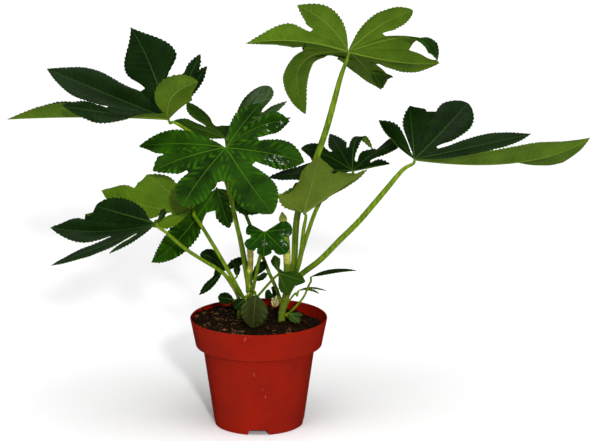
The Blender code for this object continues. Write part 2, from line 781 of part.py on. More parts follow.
def new_collection(name):
    made = bpy.data.collections.new(name)
    bpy.context.scene.collection.children.link(made)
    return made


def smooth(made):
    made.data.shade_smooth()
    made.data.set_sharp_from_angle(angle=SHARP_ANGLE)


def main():
    clear_scene()
    parts = new_collection("fatsia")
    cutters = new_collection("cutters")
    plastic = material("pot_plastic", (0.31, 0.012, 0.004), 0.42)
    earth = material("soil", (0.018, 0.009, 0.005), 0.95)
    green_stem = material("stem", (0.19, 0.30, 0.03), 0.5)
    green_leaf = material("leaf", (0.02, 0.085, 0.008), 0.3)
    smooth(make_pot(parts, cutters, plastic))
    smooth(make_soil(parts, cutters, earth))
    for name, form in STEMS.items():
        smooth(make_stem(name, form, parts, green_stem))
    for name, form in LEAVES.items():
        smooth(make_blade(name, form, parts, green_leaf))


main()
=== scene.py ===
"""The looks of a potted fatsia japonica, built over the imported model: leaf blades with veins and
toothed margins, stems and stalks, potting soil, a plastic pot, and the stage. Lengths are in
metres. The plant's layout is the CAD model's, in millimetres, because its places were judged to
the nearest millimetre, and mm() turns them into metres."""

import math
import random

import bmesh
import bpy
from mathutils import Matrix, Vector, noise


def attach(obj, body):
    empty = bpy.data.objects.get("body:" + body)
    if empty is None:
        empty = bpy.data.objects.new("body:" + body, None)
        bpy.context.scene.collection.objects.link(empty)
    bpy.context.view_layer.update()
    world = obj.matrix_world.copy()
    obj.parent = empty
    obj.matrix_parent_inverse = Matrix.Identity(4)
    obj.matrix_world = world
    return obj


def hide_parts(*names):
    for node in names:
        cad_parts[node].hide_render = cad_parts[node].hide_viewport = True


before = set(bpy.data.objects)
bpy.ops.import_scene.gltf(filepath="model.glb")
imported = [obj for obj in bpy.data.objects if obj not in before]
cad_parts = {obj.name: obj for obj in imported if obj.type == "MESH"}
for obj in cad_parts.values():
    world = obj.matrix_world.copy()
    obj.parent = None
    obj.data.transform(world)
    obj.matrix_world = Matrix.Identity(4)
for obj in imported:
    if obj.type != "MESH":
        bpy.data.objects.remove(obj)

# Camera, as the photo was taken: focal length over image width, and how far it looks down
CAMERA_PLACE = (0.045, -2.5, 0.83)
CAMERA_PITCH = math.radians(13.55)
SENSOR_WIDTH = 36
IMAGE_WIDTH = 600
FOCAL_PIXELS = 2380

# Pot, turned about Z, as in the CAD model
POT_HEIGHT = 0.120
RIM_RADIUS = 0.075
BAND_HEIGHT = 0.031
BAND_FOOT_RADIUS = 0.069
BODY_TOP_RADIUS = 0.0613
BASE_RADIUS = 0.049
WALL = 0.0014
LIP = 0.0024
FLOOR_HEIGHT = 0.007
FOOT_DISC_RADIUS = 0.018
FOOT_RING = 0.0022
FOOT_BEVEL = 0.001
BAND_EDGE = 0.0008
POT_STEPS = 168
NOTCH_COUNT = 4
NOTCH_WIDTH = 0.024
NOTCH_TOP_WIDTH = 0.0186
NOTCH_HEIGHT = 0.006
NOTCH_REACH = 0.009
DRAIN_COUNT = 8
DRAIN_RADIUS = 0.004
DRAIN_RING_RADIUS = 0.032
DRAIN_SEGMENTS = 32

# Soil
SOIL_HEIGHT = 0.1115
SOIL_TILT = -0.07
ROOT_DEPTH = 0.018

# Leaf blades, as in the CAD model
BLADE_THICKNESS = 0.0007
BLADE_STATIONS = 12
SMALL_BLADE_STATIONS = 8
WEB_REACH = 1.04
LAST_START = 0.8
EASE_SHARE = 0.22
FULL_ROLL_SHARE = 0.67
FULL_FOLD_SHARE = 0.5
LEAN_SHARE = 0.4
LEAST_LEVEL = 0.22
FREE_SHARE = 0.97
LIMIT_SHARPNESS = 4
BASE_FULLNESS = 0.85
RIB_SAMPLES = 40

# Finer leaf blades: how far apart their stations lie, and their columns, as shares of the way from
# the rib to the margin
STATION_GAP = 0.0012
COLUMNS = [0.03, 0.07, 0.13, 0.21, 0.3, 0.4, 0.51, 0.62, 0.73, 0.83, 0.92, 1]
SMALL_DETAIL = 0.5
SHEET_THICKNESS = 0.0005
ARCH_SHARE = 0.05
EDGE_WAVE = 0.0008
EDGE_WAVE_SIZE = 0.016
SEED_RANGE = 97

# Teeth: a slow rise to the crest and a quick fall, growing from the cleft and fading to the tip
TOOTH_HEIGHT = 0.0021
TOOTH_PITCH = 0.0042
TOOTH_CREST = 0.75
TOOTH_CURVE = 0.7
TEETH_GROWTH = 6
TEETH_FADING = 8

# Veins, the cushions between them and the ribs under the blade
VEIN_PITCH = 0.0078
VEIN_LEAN = 0.62
VEIN_CURL = 9.0
CUSHION_HEIGHT = 0.00022
CUSHION_CURVE = 0.7
CUSHION_LEVEL = 0.5
MARGIN_RELIEF = 0.15
RIB_RIDGE = 0.0011
RIB_TAPER = 0.75

# Stems and stalks, as in the CAD model, and their finer tubes
STALK_END_RADIUS = 0.0013
STALK_TAPER = 8
STALK_CLEARANCE = 0.00045
MOST_DROOP = 2
NECK_LENGTH = 0.005
NECK_LEAN = 2
POINTS_PER_SPAN = 12
STEM_SIDES = 28
STALK_SIDES = 18
SHEATH_LENGTH = 0.011
SHEATH_SHARE = 0.45

# The bud that ends a stem, as heights and radii in shares of the stem's radius
BUD = [(0.7, 1.15), (1.1, 1.1), (1.5, 0.95), (1.9, 0.74), (2.3, 0.5), (2.65, 0.28), (2.9, 0.1)]

# Rings left on the stems by fallen leaves: distance along the stem, rise and breadth
SCAR_PITCH = 0.017
SCAR_RISE = 0.00035
SCAR_BREADTH = 0.0012

# Soil surface
SOIL_BUMP = 0.0022
SOIL_BUMP_SIZE = 0.011
CRUMB_RISE = 0.0011
CRUMB_SIZE = 0.0035
GRIT_SIZE = 0.0012
SOIL_RINGS = 60
SOIL_STEPS = 220
SOIL_CLEARANCE = 0.0001
SOIL_SKIRT_HEIGHT = 0.097

# Loose crumbs, and the patches of them that are bark
CRUMB_SEED = 5
CRUMB_COUNT = 1500
CRUMB_REACH = 0.0705
CRUMB_LEAST = 0.0005
CRUMB_SPREAD = 0.0022
CRUMB_LIFT = 0.3
CRUMB_STRETCH = [(0.6, 1.3), (0.6, 1.3), (0.5, 0.9)]
CRUMB_DENT = 0.5
BARK_PATCH_SIZE = 0.009
BARK_LEVEL = 0.42

# Fibres on the soil, on this arc of it: from the back round the left to the front
FIBRE_COUNT = 80
FIBRE_ARC = (math.pi * 0.5, math.pi * 1.9)
FIBRE_LENGTHS = (0.003, 0.011)
FIBRE_RISES = (0.0004, 0.0016)
FIBRE_RADII = (0.00018, 0.0004)
FIBRE_STEPS = 4
FIBRE_BEND = 0.5
FIBRE_SIDES = 5

# Turned pot
LIP_STEPS = 10
EDGE_STEPS = 4
MERGE_GAP = 0.00001
SHARP_ANGLE = math.radians(50)

# Veins in the finishes, in millimetres, as the blades' charts are, or as shares of a width or of
# the way to the margin
MM = 1000
UPPER_RIB_WIDTH = 0.6
LOWER_RIB_WIDTH = 0.8
RIB_EDGE = (0.6, 1.3)
SIDE_VEIN_WIDTH = 0.42
SIDE_VEIN_END = 0.4
SIDE_VEIN_EDGE = (0.5, 1.5)
SIDE_VEIN_FADE = (0.8, 1, 1, 0.25)
# Painted light on the cushions between side veins: how far from a vein it starts, in millimetres,
# and the shares of the way to the margin over which it grows in
PAINTED_LIGHT_CUSHION_FOOT = 0.4
PAINTED_LIGHT_CUSHION_SPAN = (0.15, 0.95)

# Soft blots in the finishes: how many metres across, how detailed, the levels of noise where they
# start and where they are full, and for drawn-out ones the noise's scale along each axis
BLOTS = {
    "leaf_patches": (0.028, 4, 0.3, 0.7),
    "leaf_specks": (0.0035, 2, 0.35, 0.7),
    # Painted light: blots where the cushions between side veins of an upper side are coloured
    # lighter
    "cushion_painted_light": (0.013, 3, 0.36, 0.62),
    "underside_patches": (0.022, 4, 0.3, 0.7),
    "underside_gloss": (0.009, 3, 0.3, 0.7),
    "stalk_streaks": (0.0016, 3, 0.35, 0.68, (1, 1, 0.06)),
    "stalk_blooms": (0.02, 3, 0.45, 0.75),
    "bark_rings": (0.0045, 4, 0.4, 0.62, (0.15, 0.15, 1)),
    "bark_flecks": (0.0018, 3, 0.52, 0.66),
    "bark_greens": (0.019, 2, 0.47, 0.57, (0.3, 0.3, 1)),
    "pot_clouds": (0.035, 5, 0.3, 0.7),
    "pot_grains": (0.0016, 3, 0.35, 0.7),
    "pot_scratches": (0.003, 2, 0.68, 0.74, (1, 1, 0.25)),
    "pot_scuffs": (0.018, 2, 0.55, 0.66),
    "soil_clods": (0.008, 5, 0.35, 0.7),
    "soil_grains": (0.0013, 4, 0.4, 0.66),
    "bark_bits": (0.002, 4, 0.35, 0.65),
    "dry_fibre": (0.003, 4, 0.35, 0.65),
    "floor_clouds": (0.3, 2, 0.3, 0.7),
}

# Relief in the finishes: noise's size and detail, and how far each kind of relief stands out, in
# metres, or lies in where that is below 0
DENTS = {
    "underside": (0.007, 3),
    "pot": (0.012, 2),
    "soil": (0.003, 6),
    "floor": (0.002, 2),
}
RISES = {
    "leaf_veins": -0.00008,
    "leaf_crinkle": 0.0005,
    "underside_veins": 0.0003,
    "underside": 0.0006,
    "stalk_streaks": 0.00015,
    "bark_rings": -0.0003,
    "bark_flecks": -0.0002,
    "pot_grains": 0.00003,
    "pot": 0.0002,
    "soil": 0.0022,
    "soil_grains": 0.0006,
    "litter_grain": 0.0003,
    "floor": 0.00005,
}

# How strongly each of these brings in its colour
SHARES = {
    "leaf_patches": 0.42,
    "leaf_ribs": 0.9,
    # Painted light on the cushions between side veins of an underside
    "underside_cushion_painted_light": 0.25,
    "stalk_blooms": 0.6,
    "bark_flecks": 0.35,
    "pot_grains": 0.15,
    "pot_scuffs": 0.8,
    "soil_grains": 0.5,
}

# Roughness and gloss of the finishes, how much rougher specks and blots make a leaf, and the
# pot's range of roughness
SURFACES = {
    "stalk_skin": (0.45, 0.12),
    "stem_bark": (0.6, 0.5),
    "pot_plastic": (0.4, 0.07),
    "potting_soil": (0.92, 0.05),
    "bark_bits": (0.8, 0.05),
    "dry_fibre": (0.8, 0.05),
    "pale_floor": (0.8, 0.2),
}
UPPER_GLOSS = 0.14
LOWER_GLOSS = 0.1
SPECK_ROUGHNESS = 0.1
UNDERSIDE_ROUGHNESS = 0.15
POT_ROUGHNESS = (0.34, 0.46)

# Wet patches on leaves: their roughness, the levels of noise that break them up, and the share of
# each one's reach that is wet all over
WET_ROUGHNESS = 0.13
WET_LEVELS = (0.44, 0.52)
PATCH_CORE = 0.6

# How many metres across the fine crinkles of a leaf are, and of the kinds that differ
SMOOTH_CRINKLE = 0.007
CRINKLES = {"young": 0.003, "mid": 0.005}

# Colours, and the heights between which the bark's green foot fades out
STALK_PALE = (0.165, 0.25, 0.008)
STALK_GREEN = (0.060, 0.125, 0.004)
STALK_DARK = (0.03, 0.07, 0.005)
BARK_PALE = (0.60, 0.60, 0.11)
BARK_TAN = (0.40, 0.37, 0.055)
BARK_GREEN = (0.13, 0.20, 0.01)
BARK_DARK = (0.06, 0.04, 0.015)
GREEN_FOOT = 0.135
GREEN_TOP = 0.150
POT_RED = (0.225, 0.0065, 0.0009)
POT_DEEP = (0.185, 0.005, 0.0007)
POT_PALE = (0.34, 0.02, 0.006)
POT_SCUFF = (0.55, 0.22, 0.16)
SOIL_DARK = (0.005, 0.0028, 0.0014)
SOIL_BROWN = (0.016, 0.008, 0.004)
SOIL_PALE = (0.045, 0.024, 0.011)
BITS_DARK = (0.10, 0.03, 0.012)
BITS_RED = (0.22, 0.07, 0.03)
FIBRE_DARK = (0.06, 0.032, 0.012)
FIBRE_PALE = (0.20, 0.12, 0.05)
FLOOR_WHITE = (0.95, 0.95, 0.95)
FLOOR_PALE = (0.93, 0.93, 0.93)

# Each kind of leaf: dark, light and rib colour, how strongly its side veins show and its
# roughness, for the upper side and for the lower one, which some kinds share
DARK_UNDERSIDE = ((0.045, 0.088, 0.004), (0.070, 0.128, 0.006), (0.13, 0.20, 0.02), 0.55, 0.5)
FRESH_UNDERSIDE = ((0.050, 0.105, 0.003), (0.075, 0.142, 0.005), (0.14, 0.22, 0.02), 0.55, 0.48)
LEAF_LOOKS = {
    "dark": [
        ((0.0024, 0.010, 0.0006), (0.0055, 0.023, 0.0012), (0.03, 0.075, 0.008), 0.15, 0.6),
        DARK_UNDERSIDE,
    ],
    "fresh": [
        ((0.0030, 0.013, 0.0003), (0.026, 0.100, 0.0006), (0.050, 0.13, 0.004), 0.15, 0.88),
        FRESH_UNDERSIDE,
    ],
    "pale": [
        ((0.020, 0.050, 0.007), (0.040, 0.085, 0.012), (0.12, 0.18, 0.04), 0.3, 0.4),
        ((0.052, 0.083, 0.006), (0.072, 0.108, 0.008), (0.12, 0.16, 0.02), 0.35, 0.52),
    ],
    "young": [
        ((0.0025, 0.014, 0.0003), (0.016, 0.080, 0.0008), (0.040, 0.12, 0.004), 0.15, 1.0),
        FRESH_UNDERSIDE,
    ],
    "mid": [
        ((0.010, 0.028, 0.002), (0.026, 0.066, 0.004), (0.05, 0.11, 0.01), 0.2, 0.3),
        DARK_UNDERSIDE,
    ],
    "dry": [
        ((0.42, 0.36, 0.13), (0.70, 0.66, 0.30), (0.28, 0.20, 0.07), 0.4, 0.6),
        ((0.36, 0.30, 0.11), (0.60, 0.56, 0.25), (0.24, 0.17, 0.06), 0.4, 0.6),
    ],
    "dull": [
        ((0.012, 0.014, 0.003), (0.044, 0.064, 0.012), (0.07, 0.07, 0.016), 0.3, 0.5),
        ((0.04, 0.06, 0.01), (0.05, 0.08, 0.012), (0.10, 0.12, 0.03), 0.3, 0.55),
    ],
}

# Places where a kind of leaf is wet with gloss on its upper side, and how far each patch reaches
GLOSSY_PATCHES = {
    "fresh": [
        ((0.020, -0.028, 0.298), 0.017),
        ((0.016, 0.004, 0.332), 0.015),
    ],
    "young": [
        ((0.030, -0.081, 0.223), 0.008),
        ((0.029, -0.072, 0.231), 0.007),
        ((0.007, -0.082, 0.223), 0.006),
    ],
}

# The kinds of the leaves that aren't dark
LEAF_KINDS = {
    "leaf_centre": "fresh",
    "leaf_top": "fresh",
    "leaf_young": "young",
    "leaf_pale_left": "fresh",
    "leaf_shaded": "fresh",
    "leaf_back": "mid",
    "fold_top": "mid",
    "bit_dry": "dry",
    "leaf_small_middle": "mid",
    "leaf_pale_right": "pale",
    "leaf_small_front": "dull",
    "leaf_small_soil": "pale",
}

# Stage. Each light has a place, a breadth in degrees and a power, and it either lights the
# surfaces or shows in what reflects.
FLOOR_REACH = 20
FLOOR_LEVEL = -0.0002
WORLD_STRENGTH = 0.2
LIGHTS = [
    ("key_light", (0.5, -2.9, 1.15), 4, 2.2, "surfaces"),
    ("top_light", (0.2, -0.9, 3.0), 60, 2.4, "surfaces"),
    ("fill_light", (-2.2, -1.8, 0.9), 30, 0.4, "surfaces"),
    ("top_sheen", (0.1, -0.58, 2.6), 6, 0.75, "reflections"),
    ("high_sheen", (-0.18, -0.21, 2.6), 6, 0.75, "reflections"),
    ("back_sheen", (-1.5, 1.0, 2.0), 30, 0.6, "reflections"),
]


def mm(*sizes):
    """Millimetres as metres: one size, or a place."""
    return sizes[0] * 0.001 if len(sizes) == 1 else Vector(sizes) * 0.001


def lobe(tip, breadth, via=None, bow=0, roll=0, fold=0, widest=0.56, point=1.0):
    """One lobe of a leaf: where its tip lies from the leaf's junction, its half-breadth, the
    point that its rib passes halfway, or how far the rib bows up there, how far it rolls about
    its rib and folds along it, in degrees, where it is widest, and how blunt it is."""
    return {
        "tip": mm(*tip),
        "breadth": mm(breadth),
        "via": mm(*via) if via else None,
        "bow": mm(bow),
        "roll": math.radians(roll),
        "fold": math.radians(fold),
        "widest": widest,
        "point": point,
    }


def leaf(junction, cuts, lobes, puffs=None, facing=(0, 0, 1), stations=BLADE_STATIONS, detail=1):
    """A palmate leaf: its junction with the stalk, how far out of each cleft the web between two
    lobes reaches as a share of their length, the lobes, counterclockwise seen from above, how
    far each web is puffed up, which way a leaf of a single lobe faces, the CAD model's stations
    and the size of its relief and teeth, as a share of a full leaf's."""
    return {
        "junction": mm(*junction),
        "cuts": cuts,
        "lobes": lobes,
        "puffs": [mm(puff) for puff in puffs or [0] * len(cuts)],
        "facing": Vector(facing),
        "stations": stations,
        "detail": detail,
    }


def small_leaf(junction, cuts, lobes, facing=(0, 0, 1)):
    return leaf(junction, cuts, lobes, None, facing, SMALL_BLADE_STATIONS, SMALL_DETAIL)


def stem(radius, route, stalks):
    """A stem and the stalks on it, each with its leaf, its radius and the points that it passes."""
    return {
        "radius": mm(radius),
        "route": [mm(*place) for place in route],
        "stalks": [(name, mm(size), [mm(*place) for place in way]) for name, size, way in stalks],
    }


LEAVES = {
    "leaf_centre": leaf((-34, -15, 311), [0.72, 0.6, 0.52, 0.42, 0.4, 0.46], [
        lobe((-93, 2, 1), 15, bow=6, fold=20),
        lobe((-77, -21, -21), 16, bow=6),
        lobe((-44, -51, -52), 20, via=(-27, -29, -28), point=0.7, widest=0.6),
        lobe((50, -65, -57), 25, via=(23, -31, -28), point=0.7, widest=0.6),
        lobe((84, -13, -13), 19, via=(45, -5, -5), widest=0.62),
        lobe((68, 23, 24), 16, via=(34, 17, 19), widest=0.62),
        lobe((37, 41, 41), 14, bow=3),
    ], puffs=[0, 0, -2, 0, 3, 2]),
    "leaf_left_high": leaf((-95, -10, 341), [0.3, 0.45, 0.36, 0.45, 0.4, 0.2], [
        lobe((40, 42, 50), 7, widest=0.7),
        lobe((33, 38, 64), 10),
        lobe((-42, 40, 93), 42, via=(-20, 28, 52), widest=0.34, point=1.5),
        lobe((-136, 70, 42), 22, via=(-69, 40, 20)),
        lobe((-171, -5, 1), 19, via=(-83, -2, 3), fold=55, roll=10),
        lobe((-110, -42, 23), 17, via=(-54, -24, 10), roll=-95, widest=0.45),
        lobe((33, -25, 45), 27, via=(6, -22, 29), fold=10, widest=0.42, point=0.8),
    ]),
    "leaf_right": leaf((168, 0, 295), [0.35, 0.27, 0.8, 0.12], [
        lobe((183, -40, 32), 24, via=(108, -28, 3), roll=-60, widest=0.42),
        lobe((128, 34, 21), 13, via=(66, 16, 11)),
        lobe((60, 50, 52), 23, via=(31, 25, 26), point=0.6, widest=0.65),
        lobe((-4, 40, 51), 10),
        lobe((-38, 20, 39), 13, fold=40),
    ]),
    "leaf_top": leaf((96, 0, 412), [0.37, 0.5, 0.42, 0.42, 0.45, 0.52], [
        lobe((67, -25, 48), 19, via=(33, -14, 30), point=0.6),
        lobe((97, 34, -16), 13, via=(72, 10, 14), roll=110),
        lobe((100, 45, -20), 23, via=(54, 24, -15), roll=-10),
        lobe((39, 110, -61), 24, bow=8),
        lobe((-45, 80, -83), 17, via=(-50, 48, -22), roll=-10, widest=0.6, point=0.8),
        lobe((-109, -10, 10), 24, via=(-55, -8, 13), fold=25, roll=20, widest=0.36, point=1.4),
        lobe((-54, -30, 54), 17, via=(-22, -18, 32)),
    ], puffs=[-2, 0, -3, 7, 0, 0]),
    "leaf_pale_right": leaf((49, -35, 244), [0.84, 0.78, 0.3], [
        lobe((-28, 5, 19), 7),
        lobe((17, 35, 54), 14),
        lobe((68, 25, 42), 5),
        lobe((25, 60, 2), 9),
    ]),
    "leaf_left_low": leaf((-108, -40, 234), [0.12, 0.84, 0.42, 0.25], [
        lobe((9, 10, 14), 4),
        lobe((-65, 12, 16), 16, point=0.6),
        lobe((-114, 10, -7), 18, via=(-55, 5, -10)),
        lobe((-109, -35, -37), 11, via=(-55, -18, -20)),
        lobe((-47, -40, -23), 5),
    ]),
    "leaf_pale_left": leaf((-71, 8, 237), [0.3, 0.9, 0.5], [
        lobe((-44, -24, -12), 9),
        lobe((-97, -22, 27), 22, via=(-45, -14, 7)),
        lobe((-48, -20, 44), 15),
        lobe((0, -8, 40), 14),
    ]),
    "leaf_shaded": leaf((-46, 32, 256), [0.3, 0.5], [
        lobe((-70, -37, -74), 14, via=(-37, -22, -48), widest=0.5),
        lobe((14, -16, -41), 11),
        lobe((46, -15, -25), 11),
    ]),
    "leaf_back": leaf((-36, 40, 310), [0.4, 0.33, 0.5, 0.5, 0.4], [
        lobe((71, -10, 25), 9),
        lobe((67, 20, 37), 8),
        lobe((45, 45, 50), 26, point=0.5, widest=0.6),
        lobe((-6, 50, 4), 12),
        lobe((-43, 28, 35), 22),
        lobe((-55, -10, 22), 14),
    ]),
    "leaf_back_right": leaf((102, 30, 276), [0.3, 0.3, 0.17, 0.4, 0.5, 0.5], [
        lobe((40, -20, 12), 8, fold=30),
        lobe((56, 10, 30), 9, via=(34, 4, 25), roll=30),
        lobe((26, 20, 20), 12),
        lobe((23, 34, 16), 6, via=(6, 32, 30)),
        lobe((-24, 50, 31), 10),
        lobe((-56, 30, 18), 11, via=(-33, 25, 14)),
        lobe((-92, -10, -6), 10, via=(-46, -2, -1)),
    ]),
    "leaf_small_left": small_leaf((-40, 29, 163), [0.3, 0.4], [
        lobe((22, 11, 14), 4, widest=0.45),
        lobe((-25, 4, 18), 9, via=(-10, 1, 14), point=0.6),
        lobe((-26, -4, -26), 4),
    ]),
    "leaf_small_middle": small_leaf((22, -5, 170), [0.75, 0.4], [
        lobe((11, -8, -23), 7),
        lobe((29, -6, -8), 8),
        lobe((-5, 9, 18), 6),
    ]),
    "leaf_small_dark": small_leaf((16, 38, 131), [0.4], [
        lobe((1, 3, 13), 5),
        lobe((-9, 2, 7), 6),
    ]),
    "leaf_small_round": small_leaf((-27, -8, 141), [], [
        lobe((-17, -4, 4), 6, point=0.5, widest=0.5),
    ], facing=(0, -1, 0.4)),
    "leaf_small_low": small_leaf((-15, -14, 143), [], [
        lobe((-11, -4, -9), 6, point=0.6),
    ], facing=(0, -1, 0.5)),
    "leaf_small_front": small_leaf((-3, -14, 148), [], [
        lobe((-3, -12, -34), 15, point=0.6, widest=0.5, bow=5, fold=-15),
    ], facing=(0, -1, 0.3)),
    "leaf_small_right": small_leaf((57, 10, 162), [], [
        lobe((50, 10, 4), 4.5, via=(26, 5, 5), widest=0.4),
    ], facing=(0, -0.2, 1)),
    "leaf_small_strip": small_leaf((43, 18, 144), [0.3], [
        lobe((31, 4, -1), 2.5, via=(15, 2, 2)),
        lobe((23, 12, -7), 2.5, via=(12, 6, 0)),
    ]),
    "leaf_small_soil": small_leaf((34, 10, 120), [0.3], [
        lobe((10, -14, -6), 6),
        lobe((14, -2, -1), 3.5),
    ]),
    "leaf_young": small_leaf((8, -70, 232), [1, 1, 1, 1], [
        lobe((-20, 3, 2), 10, point=0.5),
        lobe((-18, -14, -15), 11, point=0.5),
        lobe((-1, -25, -20), 11, point=0.6),
        lobe((23, -20, -18), 12, point=0.5),
        lobe((29, 3, 3), 13, point=0.5),
    ]),
}

# Small bits of leaf that the CAD model leaves out. Each one grows or lies against a piece of it.
BITS = {
    "fold_top": small_leaf((125, 67, 378), [0.95], [
        lobe((11, 24, -22), 5, point=0.6, widest=0.4),
        lobe((22, 3, -6), 3, point=0.6),
    ]),
    "bit_dark": small_leaf((-7, 11, 158), [0.3], [
        lobe((17, 5, 6), 4),
        lobe((15, 4, 20), 6, via=(8, 2, 12)),
    ]),
    "bit_left": small_leaf((-24, 20, 160), [0.3], [
        lobe((-7, 2, 18), 4, via=(-1, 1, 9)),
        lobe((8, 2, 21), 4, via=(1, 1, 10)),
    ]),
    "bit_dry": small_leaf((17, 19, 125), [0.5], [
        lobe((-2, 0, 10), 2),
        lobe((4, 1, 13), 3.4, point=0.6, widest=0.5),
    ]),
}


# Stems: the stem's radius and the points that it passes, and for each stalk on it the leaf, the
# stalk's radius where it leaves the stem, and its points
STEMS = {
    "stem_left": stem(3.3, [
        (-9, 8, 118), (-10, 8, 136), (-10, 8, 162), (-9, 8, 179), (-9, 8, 190),
    ], [
        ("leaf_left_high", 2.3, [
            (-10, 8, 141), (-16, 8, 179), (-24, 8, 224), (-39, 8, 282), (-57, 4, 310),
            (-75, -2, 327), (-89, -8, 337),
        ]),
        ("leaf_centre", 2.3, [
            (-11, 7, 146), (-19, 6, 199), (-26, 4, 233), (-32, 0, 275), (-34, -8, 298),
        ]),
        ("leaf_left_low", 2.0, [
            (-11, 6, 130), (-36, -6, 168), (-63, -18, 190), (-79, -28, 204), (-97, -38, 223),
        ]),
        ("leaf_pale_left", 2.2, [
            (-10, 6, 126), (-30, -6, 168), (-44, -8, 194), (-60, -6, 221), (-69, 0, 233),
        ]),
        ("leaf_young", 1.9, [(-9, 6, 134), (-5, -8, 157), (0, -36, 187), (5, -56, 211)]),
        ("leaf_shaded", 1.9, [(-10, 9, 150), (-16, 20, 185), (-25, 32, 218), (-41, 40, 246)]),
        ("leaf_small_middle", 1.4, [(-9, 8, 132), (2, 5, 145), (12, 0, 158), (19, -3, 166)]),
        ("leaf_small_front", 1.4, [(-9, 6, 142), (-6, -3, 148), (-4, -9, 150)]),
        ("leaf_small_low", 1.2, [(-11, 6, 138), (-11, -4, 143), (-14, -9, 145)]),
    ]),
    "stem_seedling": stem(1.9, [(-22, 14, 118), (-21, 17, 128), (-24, 20, 139), (-30, 24, 149)], [
        ("leaf_small_left", 1.7, [(-29, 24, 148), (-36, 27, 157)]),
        ("leaf_small_round", 1.1, [(-21, 16, 124), (-26, 8, 132), (-28, 1, 137)]),
        ("bit_left", 0.8, [(-30, 24, 148), (-28, 22, 155)]),
    ]),
    "stem_right": stem(4.0, [
        (25, 16, 118), (28, 16, 131), (31, 13, 150), (31, 9, 178), (30, 7, 200), (27, 4, 225),
    ], [
        ("leaf_top", 3.5, [
            (31, 13, 146), (38, 14, 169), (42, 10, 230), (56, 8, 276), (73, 2, 327), (88, -2, 384),
        ]),
        ("leaf_right", 3.2, [
            (30, 14, 141), (45, 14, 162), (67, 10, 181), (88, 6, 204), (109, 4, 226), (135, 2, 258),
            (155, 0, 283),
        ]),
        ("leaf_pale_right", 2.2, [(32, 12, 150), (41, 4, 167), (46, -14, 196), (49, -40, 228)]),
        ("leaf_back_right", 2.3, [
            (32, 14, 148), (43, 22, 170), (48, 26, 189), (63, 34, 232), (82, 36, 262),
        ]),
        ("leaf_back", 2.0, [
            (27, 16, 124), (19, 22, 145), (11, 28, 162), (4, 32, 179), (-10, 40, 213),
            (-29, 44, 263),
        ]),
        ("leaf_small_right", 1.2, [(27, 15, 116), (34, 13, 121), (48, 12, 137), (55, 10, 153)]),
        ("leaf_small_dark", 1.2, [(27, 17, 118), (22, 32, 126), (19, 43, 128)]),
        ("leaf_small_strip", 1.1, [(28, 17, 126), (34, 18, 134), (40, 18, 141)]),
        ("leaf_small_soil", 1.1, [(27, 15, 115), (30, 12, 118)]),
    ]),
}


class Rib:
    """The midrib of one lobe, an arc from the junction to the lobe's tip."""

    def __init__(self, form, up):
        self.form = form
        self.up = up
        self.tip = form["tip"]
        half = form["via"] or self.tip / 2 + up * form["bow"]
        self.bend = half * 2 - self.tip / 2
        places = [self.at(k / RIB_SAMPLES) for k in range(RIB_SAMPLES + 1)]
        self.length = sum((b - a).length for a, b in zip(places, places[1:]))

    def at(self, t):
        return self.bend * (2 * t * (1 - t)) + self.tip * (t * t)

    def heading(self, t):
        return (self.bend * (1 - t) + (self.tip - self.bend) * t).normalized()

    def nearest(self, point):
        """How far a point is from the rib, and the share of the rib's length where it's nearest."""
        shares = [k / RIB_SAMPLES for k in range(RIB_SAMPLES + 1)]
        return min(((self.at(share) - point).length, share) for share in shares)

    def half_breadth(self, t):
        widest = self.form["widest"]
        if t < widest:
            return self.form["breadth"] * math.sin(math.pi / 2 * t / widest) ** BASE_FULLNESS
        narrowing = math.cos(math.pi / 2 * (t - widest) / (1 - widest))
        return self.form["breadth"] * narrowing ** self.form["point"]


def soft_least(size, limit):
    """The smaller of the two sizes, with a smooth change from one to the other."""
    if not size or math.isinf(limit):
        return size
    return size / (1 + (size / limit) ** LIMIT_SHARPNESS) ** (1 / LIMIT_SHARPNESS)


def across(vector, axis):
    """The unit vector nearest to this one that is square to the axis."""
    return (vector - axis * vector.dot(axis)).normalized()


def ribs_of(form):
    """The leaf's ribs. A rib's upper side is the side that its neighbours turn round."""
    headings = [one["tip"].normalized() for one in form["lobes"]]
    ribs = []
    for index, heading in enumerate(headings):
        up = Vector() if len(headings) > 1 else form["facing"]
        if index > 0:
            up = up + headings[index - 1].cross(heading)
        if index < len(headings) - 1:
            up = up + heading.cross(headings[index + 1])
        ribs.append(Rib(form["lobes"][index], across(up, heading)))
    return ribs


def seam_point(form, ribs, gap, t):
    """A point on the web between two ribs, halfway between them and a little further out."""
    middle = (ribs[gap].at(t) + ribs[gap + 1].at(t)) / 2 * WEB_REACH
    up = (ribs[gap].up + ribs[gap + 1].up).normalized()
    return middle + up * form["puffs"][gap] * min(1, t / form["cuts"][gap])


